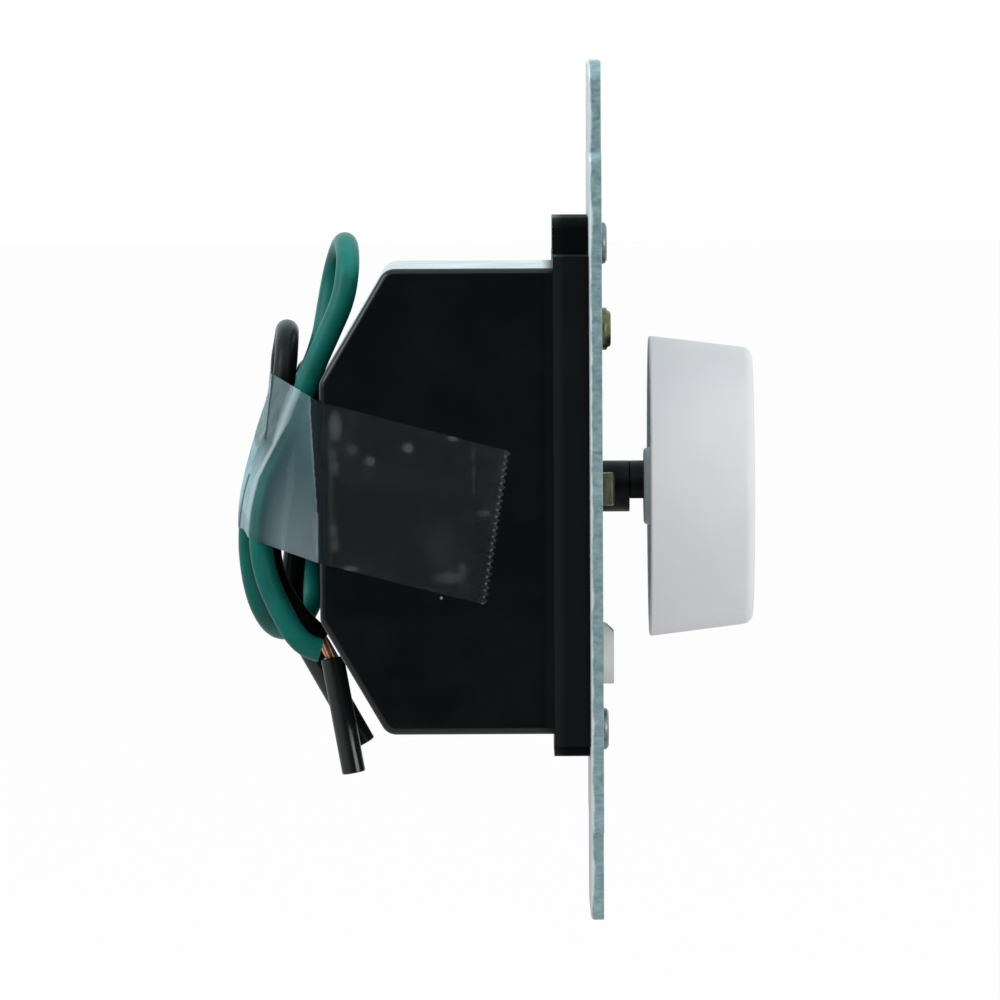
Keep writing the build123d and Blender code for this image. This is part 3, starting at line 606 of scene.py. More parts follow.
# The finish of each CAD node that stays as it is.
NODE_FINISHES = {
    "housing": HOUSING_BLACK,
    "insulating_sheet": FIBRE_SHEET,
    "pot_case": INNER_BLACK,
    "track_wafer": PHENOLIC,
    "pot_terminals": TINNED_BRASS,
    "pot_rotor": INNER_BLACK,
    "wiper": TINNED_BRASS,
    "knob_spring": SPRING_STEEL,
    "switch_case": INNER_BLACK,
    "switch_plunger": TRIM_WHITE,
    "switch_blade": TINNED_BRASS,
    "switch_contacts": TINNED_BRASS,
    "circuit_board": PHENOLIC,
    "triac_pad": HEAT_PAD,
    "triac_plate": PLATED_EYELET,
    "triac_body": INNER_BLACK,
    "triac_legs": TINNED_BRASS,
    "trimmer_body": INNER_BLACK,
    "choke_core": FERRITE,
    "choke_winding": ENAMELLED_WIRE,
    "suppression_capacitor": DIPPED_RESIN,
    "timing_capacitor": DIPPED_RESIN,
    "diac": RESISTOR_TAN,
    "resistors": RESISTOR_TAN,
    "ground_tag": TINNED_BRASS,
    "inner_leads": BLACK_PVC,
}


def at(x: float, y: float, z: float) -> Matrix:
    """Give the matrix that moves a shape to a point."""
    return Matrix.Translation((x, y, z))


def along(start: Point, end: Point) -> Matrix:
    """Give the matrix that lays a shape built up +Z from a start point towards an end point.

    Args:
        start: where the shape's origin goes.
        end: the point it reaches for.

    Returns:
        The placing matrix.
    """
    way = Vector(end) - Vector(start)
    return Matrix.Translation(start) @ way.to_track_quat("Z", "Y").to_matrix().to_4x4()


def spun(bm: bmesh.types.BMesh, profile: list[Pair], centre: Pair, closed: bool,
         steps: int = 72) -> None:
    """Spin a half profile about an axis along Y and close it.

    Args:
        bm: mesh that gets the shape.
        profile: (radius, depth) points.
        centre: the axis's X and Z.
        closed: True where the profile is a loop, False where both its ends are on the axis.
        steps: faces round the turn.
    """
    x, z = centre
    verts = [bm.verts.new((x + radius, depth, z)) for radius, depth in profile]
    pairs = list(zip(verts, verts[1:])) + ([(verts[-1], verts[0])] if closed else [])
    edges = [bm.edges.new(pair) for pair in pairs]
    bmesh.ops.spin(bm, geom=verts + edges, cent=(x, 0, z), axis=(0, 1, 0), angle=math.tau,
                   steps=steps, use_merge=True)
    bmesh.ops.remove_doubles(bm, verts=bm.verts, dist=WELD)
    bmesh.ops.recalc_face_normals(bm, faces=bm.faces)


def round_ring(bm: bmesh.types.BMesh, radius: float, depth: float, offset: float,
               segments: int) -> None:
    """Round the circular edge about the Y axis that lies at one radius and depth.

    Args:
        bm: mesh that has the edge.
        radius: the circle's radius.
        depth: its Y.
        offset: width of the rounding.
        segments: faces across the rounding.
    """
    def on_ring(vert: bmesh.types.BMVert) -> bool:
        """Tell whether a vertex lies on the circle."""
        reach = math.hypot(vert.co.x, vert.co.z)
        return abs(reach - radius) < ON_CIRCLE and abs(vert.co.y - depth) < ON_CIRCLE

    ring = [edge for edge in bm.edges if all(on_ring(vert) for vert in edge.verts)]
    bmesh.ops.bevel(bm, geom=ring, offset=offset, segments=segments, profile=0.5,
                    affect="EDGES", material=-1)


def bar(bm: bmesh.types.BMesh, low: Point, high: Point) -> None:
    """Add a rectangular bar between two corners.

    Args:
        bm: mesh that gets it.
        low: lowest corner.
        high: highest corner.
    """
    middle = [(a + b) / 2 for a, b in zip(low, high)]
    size = Matrix.Diagonal([b - a for a, b in zip(low, high)]).to_4x4()
    bmesh.ops.create_cube(bm, size=1.0, matrix=at(*middle) @ size)


def extrude(bm: bmesh.types.BMesh, faces: list[bmesh.types.BMFace], depth: float) -> None:
    """Extrude faces along Y.

    Args:
        bm: mesh that has them.
        faces: the faces.
        depth: how far they go.
    """
    moved = bmesh.ops.extrude_face_region(bm, geom=faces)["geom"]
    bmesh.ops.translate(bm, vec=(0, depth, 0),
                        verts=[part for part in moved if isinstance(part, bmesh.types.BMVert)])


def cut_through(bm: bmesh.types.BMesh, spot: Point | Vector, normal: Point | Vector,
                clear: bool = False) -> None:
    """Cut a mesh with a plane.

    Args:
        bm: the mesh.
        spot: a point of the plane.
        normal: the plane's direction.
        clear: True to take away what lies in that direction.
    """
    bmesh.ops.bisect_plane(bm, geom=bm.verts[:] + bm.edges[:] + bm.faces[:], dist=CUT,
                           plane_co=spot, plane_no=normal, clear_outer=clear)


def cap(bm: bmesh.types.BMesh) -> None:
    """Close a mesh's open ends and turn its faces outwards."""
    bmesh.ops.holes_fill(bm, edges=[edge for edge in bm.edges if edge.is_boundary], sides=0)
    bmesh.ops.recalc_face_normals(bm, faces=bm.faces)


def join(bm: bmesh.types.BMesh, part: bmesh.types.BMesh, place: Matrix | None = None) -> None:
    """Add one mesh to another.

    Args:
        bm: mesh that grows.
        part: mesh that is added and used up.
        place: where the part goes.
    """
    if place is not None:
        bmesh.ops.transform(part, matrix=place, verts=part.verts)
    carrier = bpy.data.meshes.new("part")
    part.to_mesh(carrier)
    part.free()
    bm.from_mesh(carrier)
    bpy.data.meshes.remove(carrier)


def add_piece(name: str, bm: bmesh.types.BMesh, finishes: list[Finish | ClearFilm], body: str,
              stands_for: str, sharp_deg: float = 35.0) -> bpy.types.Object:
    """Turn a mesh in millimetres into a finished piece that rides on a CAD body.

    Args:
        name: the piece's name.
        bm: its mesh, which is used up.
        finishes: its finishes, by material index.
        body: the CAD body that carries it.
        stands_for: CAD node that it replaces.
        sharp_deg: angle from which an edge is drawn sharp.

    Returns:
        The new object.
    """
    bmesh.ops.scale(bm, vec=(MM, MM, MM), verts=bm.verts)
    mesh = bpy.data.meshes.new(name)
    bm.to_mesh(mesh)
    bm.free()
    mesh.shade_smooth()
    mesh.set_sharp_from_angle(angle=math.radians(sharp_deg))
    piece = bpy.data.objects.new(name, mesh)
    return place_piece(piece, finishes, body, stands_for)


def place_piece(piece: bpy.types.Object, finishes: list[Finish | ClearFilm], body: str,
                stands_for: str) -> bpy.types.Object:
    """Link a piece, dress it and set it on its CAD body.

    Args:
        piece: the object.
        finishes: its finishes, by material index.
        body: the CAD body that carries it.
        stands_for: CAD node that it replaces.

    Returns:
        The same object.
    """
    bpy.context.collection.objects.link(piece)
    for finish in finishes:
        piece.data.materials.append(finish.material())
    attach(piece, body)
    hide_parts(stands_for)
    LOG.info("%s rides on %s", piece.name, body)
    return piece


def soften(piece: bpy.types.Object, width: float, from_deg: float = 40.0) -> None:
    """Round a piece's hard edges.

    Args:
        piece: the object.
        width: width of the rounding in millimetres.
        from_deg: angle from which an edge is hard.
    """
    edge = piece.modifiers.new("softened edges", "BEVEL")
    edge.width = width * MM
    edge.segments = 2
    edge.limit_method = "ANGLE"
    edge.angle_limit = math.radians(from_deg)


@dataclass
class MountingStrap:
    """Stamped strap: wide middle, narrower ears, screw slots and holes for what is fixed to it."""

    width: float = 44.5
    shoulder_height: float = 83.2
    height: float = 105.6
    ear_width: float = 33.0
    thick: float = 1.6
    ear_corner: float = 2.4
    corner: float = 1.2
    corner_steps: int = 6
    rolled_edge: float = 0.45
    rolled_steps: int = 4
    edge_round: float = 0.1
    hard_turn_deg: float = 51.6
    slot_length: float = 7.6
    slot_width: float = 4.4
    rim_steps: int = 40
    box_screw_spacing: float = 83.34
    # Round holes: X, Z and diameter.
    holes: tuple[Point, ...] = (
        (0.0, 0.0, 7.15), (-6.0, 19.7, 3.32), (-9.0, -20.2, 4.2), (0.0, 30.1625, 4.22),
        (0.0, -30.1625, 4.22))
    # Slots for the potentiometer's tabs: X, Z, width and height.
    tab_slots: tuple[tuple[float, float, float, float], ...] = (
        (-8.0, 0.0, 1.0, 4.3), (8.0, 0.0, 1.0, 4.3))

    def build(self) -> None:
        """Stamp the strap, and give its sheared sides their own finish."""
        bm = bmesh.new()
        self._outline(bm)
        self._openings(bm)
        bmesh.ops.triangle_fill(bm, use_beauty=True, use_dissolve=False, edges=bm.edges[:],
                                normal=(0, -1, 0))
        extrude(bm, bm.faces[:], self.thick)
        bmesh.ops.recalc_face_normals(bm, faces=bm.faces)
        for face in bm.faces:
            face.material_index = 0 if abs(face.normal.y) > 0.5 else 1
        rolled = [edge for edge in bm.edges
                  if len(edge.link_faces) == 2
                  and edge.calc_face_angle() > math.radians(self.hard_turn_deg)
                  and all(abs(vert.co.y) < WELD for vert in edge.verts)]
        bmesh.ops.bevel(bm, geom=rolled, offset=self.rolled_edge, segments=self.rolled_steps,
                        profile=0.5, affect="EDGES", material=1)
        strap = add_piece("strap", bm, [PLATED_SHEET, SHEARED_EDGE], BASE, "mounting_strap")
        soften(strap, self.edge_round)

    def _outline(self, bm: bmesh.types.BMesh) -> None:
        """Draw the outside with its rounded corners.

        Args:
            bm: mesh that gets the outline's edges.
        """
        ear, side = self.ear_width / 2, self.width / 2
        shoulder, tip = self.shoulder_height / 2, self.height / 2
        quarter = [(ear, tip), (ear, shoulder), (side, shoulder)]
        right = quarter + [(x, -z) for x, z in reversed(quarter)]
        ring = right + [(-x, z) for x, z in reversed(right)]
        verts = [bm.verts.new((x, -self.thick, z)) for x, z in ring]
        bm.faces.new(verts)
        tips = [vert for vert in verts if abs(vert.co.z) > shoulder + self.corner]
        shoulders = [vert for vert in verts if abs(vert.co.x) > ear + self.corner]
        for corners, radius in ((tips, self.ear_corner), (shoulders, self.corner)):
            bmesh.ops.bevel(bm, geom=corners, offset=radius, segments=self.corner_steps,
                            profile=0.5, affect="VERTICES", material=-1)
        bmesh.ops.delete(bm, geom=bm.faces[:], context="FACES_ONLY")

    def _openings(self, bm: bmesh.types.BMesh) -> None:
        """Draw the rims of the holes and slots.

        Args:
            bm: mesh that gets the rims' edges.
        """
        for x, z, dia in self.holes:
            bmesh.ops.create_circle(bm, segments=self.rim_steps, radius=dia / 2,
                                    matrix=at(x, -self.thick, z) @ FACING_ROOM)
        for z in (self.box_screw_spacing / 2, -self.box_screw_spacing / 2):
            rim = bmesh.ops.create_circle(bm, segments=self.rim_steps, radius=self.slot_width / 2,
                                          matrix=at(0, -self.thick, z) @ FACING_ROOM)["verts"]
            for vert in rim:
                if abs(vert.co.x) > WELD:
                    vert.co.x += math.copysign((self.slot_length - self.slot_width) / 2, vert.co.x)
        for x, z, width, height in self.tab_slots:
            # A circle of four sides, turned upright, is a square with sides of 1.
            bmesh.ops.create_circle(bm, segments=4, radius=math.sqrt(0.5),
                                    matrix=at(x, -self.thick, z)
                                    @ Matrix.Diagonal((width, 1, height, 1))
                                    @ FACING_ROOM @ Matrix.Rotation(math.radians(45), 4, "Z"))


@dataclass
class Fasteners:
    """Turned and headed pieces in the strap: two tapped eyelets and the brass rivet.

    The rounded edges are given as points: how far in from the edge, and how far behind the face.
    """

    strap_front: float = -1.6
    eyelet_height: float = 30.1625
    head: float = 5.2
    barrel: float = 4.1
    bore: float = 2.8
    mouth_front: float = 0.25
    mouth_rear: float = 0.2
    head_thick: float = 0.8
    head_round: tuple[Pair, ...] = ((0.5, 0.0), (0.12, 0.2), (0.0, 0.5))
    flare: float = 4.8
    flare_front: float = 3.8
    flare_thick: float = 0.5
    flare_chamfer: Pair = (0.25, 0.2)
    rivet_pos: Pair = (-6.0, 19.7)
    rivet_head: float = 5.3
    rivet_shank: float = 3.2
    rivet_rear: float = 1.45
    rivet_rise: float = 1.2
    rivet_undercut: float = 0.05
    rivet_round: tuple[Pair, ...] = ((0.12, 0.5), (0.0, 0.66))
    # The rivet's dimpled crown and its clenched tail: radius, and depth behind the crown or tail.
    rivet_crown: tuple[Pair, ...] = (
        (0.0, 0.28), (0.9, 0.22), (1.2, 0.02), (1.9, 0.0), (2.15, 0.12), (2.3, 0.42))
    rivet_tail: tuple[Pair, ...] = ((2.3, 0.0), (1.9, 0.7), (0.0, 0.7))

    def build(self) -> None:
        """Make the eyelets and the rivet."""
        self._eyelets()
        self._rivet()

    def _eyelets(self) -> None:
        """Spin both eyelets, from the bore's mouth round the head and the flare."""
        bm = bmesh.new()
        face, back = self.strap_front - self.head_thick, self.flare_front + self.flare_thick
        bore, barrel, head, flare = (dia / 2
                                     for dia in (self.bore, self.barrel, self.head, self.flare))
        inset, drop = self.flare_chamfer
        for z in (self.eyelet_height, -self.eyelet_height):
            spun(bm, [(bore, face + self.mouth_front), (bore + self.mouth_front, face),
                      *((head - far_in, face + depth) for far_in, depth in self.head_round),
                      (head, self.strap_front), (barrel, self.strap_front),
                      (barrel, self.flare_front), (flare, self.flare_front), (flare, back - drop),
                      (flare - inset, back), (bore + self.mouth_rear, back),
                      (bore, back - self.mouth_rear)], (0, z), closed=True)
        add_piece("eyelets", bm, [PLATED_EYELET], BASE, "plate_screw_eyelets")

    def _rivet(self) -> None:
        """Spin the rivet, from its crown to its tail."""
        bm = bmesh.new()
        crown = self.strap_front - self.rivet_rise
        rim, shank = self.rivet_head / 2, self.rivet_shank / 2
        spun(bm, [*((radius, crown + depth) for radius, depth in self.rivet_crown),
                  *((rim - far_in, crown + depth) for far_in, depth in self.rivet_round),
                  (rim - self.rivet_undercut, self.strap_front), (shank, self.strap_front),
                  (shank, self.rivet_rear),
                  *((radius, self.rivet_rear + depth) for radius, depth in self.rivet_tail)],
             self.rivet_pos, closed=False)
        add_piece("rivet", bm, [RIVET_BRASS], BASE, "triac_rivet", sharp_deg=50)


@dataclass
class PotFrame:
    """Potentiometer's stamped frame, whose tabs come through the strap and are twisted to lock."""

    dia: float = 20.0
    thick: float = 0.8
    hole: float = 6.47
    tab_offset: float = 8.0
    tab_height: float = 4.1
    tab_thick: float = 0.8
    tab_root: float = 0.1
    strap_front: float = -1.6
    tab_front: float = -3.16
    tab_turn: float = 16.0
    twist_cuts: int = 9
    edge_round: float = 0.2

    def build(self) -> None:
        """Make the disc and its two tabs."""
        bm = bmesh.new()
        inner, outer = self.hole / 2, self.dia / 2
        spun(bm, [(inner, 0), (outer, 0), (outer, self.thick), (inner, self.thick)], (0, 0),
             closed=True)
        for side in (1, -1):
            self._tab(bm, side)
        frame = add_piece("pot_tabs", bm, [FRAME_BRONZE], BASE, "pot_frame")
        soften(frame, self.edge_round)

    def _tab(self, bm: bmesh.types.BMesh, side: int) -> None:
        """Add one tab, twisted in front of the strap.

        Args:
            bm: mesh that gets it.
            side: 1 for +X, -1 for -X.
        """
        half, tall = self.tab_thick / 2, self.tab_height / 2
        x = side * self.tab_offset
        tab = bmesh.new()
        bar(tab, (x - half, self.tab_front, -tall), (x + half, self.tab_root, tall))
        runs = [edge for edge in tab.edges
                if abs(edge.verts[0].co.y - edge.verts[1].co.y) > self.tab_thick]
        bmesh.ops.subdivide_edges(tab, edges=runs, cuts=self.twist_cuts, use_grid_fill=True)
        twist = Ramp(0.0, self.strap_front - self.tab_front)
        for vert in tab.verts:
            turn = -side * self.tab_turn * twist.at(self.strap_front - vert.co.y)
            vert.co = (at(x, 0, 0) @ Matrix.Rotation(math.radians(turn), 4, "Y") @ at(-x, 0, 0)
                       @ vert.co)
        join(bm, tab)


@dataclass
class ControlShaft:
    """Plastic shaft: D-shaped tip, round neck, a collar that traps it and a square key."""

    dia: float = 6.35
    flat: float = 1.425
    tip: float = -18.4
    shoulder: float = -5.1
    collar_front: float = 0.95
    collar_rear: float = 1.75
    collar: float = 8.4
    key: float = 4.0
    rear: float = 7.6
    steps: int = 72
    edge_round: float = 0.15

    def build(self) -> None:
        """Make the shaft as one piece of three round runs and a key."""
        bm = bmesh.new()
        self._run(bm, self.dia, self.tip, self.shoulder, flat=True)
        self._run(bm, self.dia, self.shoulder, self.collar_front)
        self._run(bm, self.collar, self.collar_front, self.collar_rear)
        half = self.key / 2
        bar(bm, (-half, self.collar_rear, -half), (half, self.rear, half))
        shaft = add_piece("shaft", bm, [SHAFT_BLACK], KNOB, "control_shaft")
        soften(shaft, self.edge_round)

    def _run(self, bm: bmesh.types.BMesh, dia: float, front: float, rear: float,
             flat: bool = False) -> None:
        """Add one round run of the shaft.

        Args:
            bm: mesh that gets it.
            dia: diameter.
            front: its front end's Y.
            rear: its rear end's Y.
            flat: True where the underside is cut flat.
        """
        run = bmesh.new()
        bmesh.ops.create_circle(run, cap_ends=True, segments=self.steps, radius=dia / 2,
                                matrix=at(0, front, 0) @ FACING_ROOM)
        if flat:
            cut_through(run, (0, 0, -self.flat), (0, 0, -1), clear=True)
        extrude(run, run.faces[:], rear - front)
        bmesh.ops.recalc_face_normals(run, faces=run.faces)
        join(bm, run)


@dataclass
class PlungerSpring:
    """Coil spring between the switch's plunger and the board, shorter as the knob is pressed."""

    wire: float = 0.6
    wire_sides: int = 8
    coil: float = 6.2
    turns: int = 5
    turn_steps: int = 24
    travel: float = 1.6

    def build(self) -> None:
        """Coil the wire over the length of the CAD spring's box."""
        front, rear = (corner[1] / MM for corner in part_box("plunger_spring"))
        steps = self.turns * self.turn_steps
        bm = bmesh.new()
        bmesh.ops.create_circle(bm, segments=self.wire_sides, radius=self.wire / 2,
                                matrix=at(self.coil / 2, front + self.wire / 2, 0))
        bmesh.ops.spin(bm, geom=bm.verts[:] + bm.edges[:], cent=(0, 0, 0), axis=(0, 1, 0),
                       dvec=(0, (rear - front - self.wire) / steps, 0),
                       angle=math.tau * self.turns, steps=steps)
        cap(bm)
        spring = add_piece("spring", bm, [SPRING_STEEL], BASE, "plunger_spring")
        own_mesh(spring)


@dataclass
class ControlKnob:
    """Tapered cap with a rounded front edge, a hub that stands out behind the rim, and ribs."""

    rear: float = -7.5
    front: float = -20.35
    rear_dia: float = 37.3
    front_dia: float = 34.1
    edge_round: float = 1.2
    rim_round: float = 0.35
    inner_round: float = 0.3
    hub_round: float = 0.4
    wall: float = 1.6
    draft: float = 0.2
    face: float = 1.8
    hub: float = 9.5
    hub_rear: float = -6.85
    bore: float = 6.47
    ribs: int = 6
    rib_thick: float = 1.0
    rib_depth: float = 6.0
    rib_bite: float = 0.3
    rib_sunk: float = 0.2
    steps: int = 144

    def build(self) -> None:
        """Spin the cap with its hub, round its edges and add the ribs."""
        bm = bmesh.new()
        inner = self.front + self.face
        rear, front = self.rear_dia / 2, self.front_dia / 2
        hub, bore = self.hub / 2, self.bore / 2
        spun(bm, [(0, self.front), (front, self.front), (rear, self.rear),
                  (rear - self.wall, self.rear), (front - self.wall + self.draft, inner),
                  (hub, inner), (hub, self.hub_rear), (bore, self.hub_rear), (bore, inner),
                  (0, inner)], (0, 0), closed=False, steps=self.steps)
        for radius, depth, width, segments in (
                (front, self.front, self.edge_round, 7), (rear, self.rear, self.rim_round, 3),
                (rear - self.wall, self.rear, self.inner_round, 3),
                (hub, self.hub_rear, self.hub_round, 3)):
            round_ring(bm, radius, depth, width, segments)
        half = self.rib_thick / 2
        for index in range(self.ribs):
            rib = bmesh.new()
            bar(rib, (hub - self.rib_bite, inner - self.rib_sunk, -half),
                (front - self.wall + self.rib_bite, inner + self.rib_depth, half))
            join(bm, rib, Matrix.Rotation(math.tau * index / self.ribs, 4, "Y"))
        add_piece("knob_cap", bm, [KNOB_WHITE], KNOB, "knob")


@dataclass
class TrimDial:
    """Low speed trim: a slotted white dial on a stem, with a slanted nick in its rim."""

    pos: Pair = (-9.0, -20.2)
    dia: float = 7.6
    steps: int = 72
    front: float = -3.0
    rear: float = -1.7
    stem: float = 4.0
    stem_steps: int = 40
    stem_bite: float = 0.2
    stem_rear: float = 14.5
    slot_width: float = 1.0
    slot_length: float = 6.0
    slot_depth: float = 0.8
    nick: float = 1.1
    edge_round: float = 0.12

    def build(self) -> None:
        """Make the dial, its driver slot, its nick and its stem."""
        x, z = self.pos
        middle = Vector((x, self.front, z))
        bm = bmesh.new()
        bmesh.ops.create_circle(bm, cap_ends=True, segments=self.steps, radius=self.dia / 2,
                                matrix=at(*middle) @ FACING_ROOM)
        for way, gap in (((0, 0, 1), self.slot_width), ((1, 0, 0), self.slot_length)):
            for side in (1, -1):
                cut_through(bm, middle + Vector(way) * side * gap / 2, way)
        floor = min(bm.faces, key=lambda face: (face.calc_center_median() - middle).length)
        extrude(bm, bm.faces[:], self.rear - self.front)
        extrude(bm, [floor], self.slot_depth)
        slant = Vector((0, -1, 1)).normalized()
        cut_through(bm, (x, self.front, z + self.dia / 2 - self.nick), slant, clear=True)
        cap(bm)
        stem, reach, top = bmesh.new(), self.stem / 2, self.rear - self.stem_bite
        spun(stem, [(0, top), (reach, top), (reach, self.stem_rear), (0, self.stem_rear)],
             self.pos, closed=False, steps=self.stem_steps)
        join(bm, stem)
        bm.normal_update()
        # The nick's slanted face takes the dark finish.
        for face in bm.faces:
            face.material_index = 1 if face.normal.dot(slant) > 0.99 else 0
        dial = add_piece("trim_knob", bm, [TRIM_WHITE, NICK_DARK], TRIM, "trim_dial")
        soften(dial, self.edge_round)


@dataclass(frozen=True)
class Lead:
    """One insulated lead, on its CAD solid's route, moved where the photograph shows more.

    Attributes:
        name: the piece's name.
        node: CAD node that it replaces.
        finish: its insulation.
        slot: the record's material slot; not used.
        route: control points, from the housing's rear wall to the end of the insulation.
    """

    name: str
    node: str
    finish: Finish
    slot: str
    route: tuple[Point, ...]

    def curve(self, dia: float) -> bpy.types.Object:
        """Draw the lead as a smooth tube.

        Args:
            dia: the insulation's diameter in millimetres, or 0 for a bare line.

        Returns:
            A curve object of one open spline.
        """
        data = bpy.data.curves.new(self.name, "CURVE")
        data.dimensions = "3D"
        spline = data.splines.new("NURBS")
        spline.points.add(len(self.route) - 1)
        for point, spot in zip(spline.points, self.route):
            point.co = (*(value * MM for value in spot), 1.0)
        spline.order_u = 3
        spline.use_endpoint_u = True
        spline.resolution_u = 10
        data.bevel_depth = dia / 2 * MM
        data.bevel_resolution = 7
        data.use_fill_caps = True
        return bpy.data.objects.new(self.name, data)

    def line(self) -> list[Vector]:
        """Read points along the smooth line.

        Returns:
            Points in millimetres, from the housing to the far end.
        """
        holder = self.curve(0.0)
        bare = bpy.data.meshes.new_from_object(holder)
        points = [vertex.co / MM for vertex in bare.vertices]
        data = holder.data
        bpy.data.objects.remove(holder)
        bpy.data.curves.remove(data)
        bpy.data.meshes.remove(bare)
        return points


def reach_of(points: list[Vector]) -> float:
    """Measure the way along a row of points."""
    return sum((after - before).length for before, after in zip(points, points[1:]))


GROUND = Lead("ground_wire", "ground_lead", GREEN_PVC, "lead_green", (
    (15.0, 31.25, -2.0), (15.0, 34.1, -2.0), (15.0, 36.2, -3.9), (14.9, 35.9, -7.4),
    (14.7, 34.5, -12.2), (13.4, 34.8, -15.6), (9.5, 36.9, -17.9), (4.6, 38.9, -17.8),
    (0.4, 40.7, -15.0), (-1.6, 41.8, -10.4), (-2.0, 42.1, -5.0), (-2.0, 41.0, 1.0),
    (-2.0, 38.8, 6.6), (-1.6, 35.4, 12.2), (0.5, 33.0, 17.6), (3.4, 32.2, 22.4),
    (4.0, 31.4, 26.9), (1.0, 30.4, 30.0), (-4.0, 29.8, 30.5), (-8.4, 29.5, 28.0),
    (-9.6, 30.1, 23.6), (-9.7, 31.9, 19.6), (-9.7, 33.9, 15.2), (-9.7, 35.6, 10.8),
    (-9.7, 37.8, 5.6), (-9.7, 39.8, 0.0), (-9.7, 40.7, -5.6), (-9.7, 39.9, -10.6),
    (-9.8, 38.2, -14.5), (-10.0, 36.4, -17.7), (-10.1, 34.7, -19.3), (-10.0, 33.2, -19.7)))
LINE = Lead("line_wire", "line_lead", BLACK_PVC, "lead_black", (
    (8.0, 31.25, 5.0), (8.0, 34.4, 5.0), (8.6, 36.9, 6.9), (9.5, 38.0, 10.4),
    (9.8, 38.2, 15.0), (7.6, 37.6, 18.1), (2.4, 37.3, 19.7), (-3.2, 37.2, 18.7),
    (-5.8, 37.4, 15.0), (-6.0, 38.1, 10.4), (-6.0, 38.6, 5.2), (-6.1, 38.9, -0.4),
    (-6.2, 39.6, -5.4), (-6.2, 39.3, -9.8), (-6.1, 37.7, -13.4), (-6.0, 35.3, -16.6),
    (-5.9, 33.0, -18.6)))
LOAD = Lead("load_wire", "load_lead", BLACK_PVC, "lead_black", (
    (15.0, 31.25, 4.5), (15.0, 33.9, 4.5), (15.2, 35.3, 6.6), (14.9, 34.9, 10.4),
    (12.4, 34.8, 13.6), (8.4, 34.8, 14.6), (4.5, 34.9, 13.2), (2.4, 35.0, 9.6),
    (2.0, 34.9, 4.8), (2.0, 35.1, 0.0), (2.0, 36.0, -5.0), (2.0, 36.7, -10.0),
    (2.0, 37.0, -13.4), (2.0, 36.8, -15.6)))


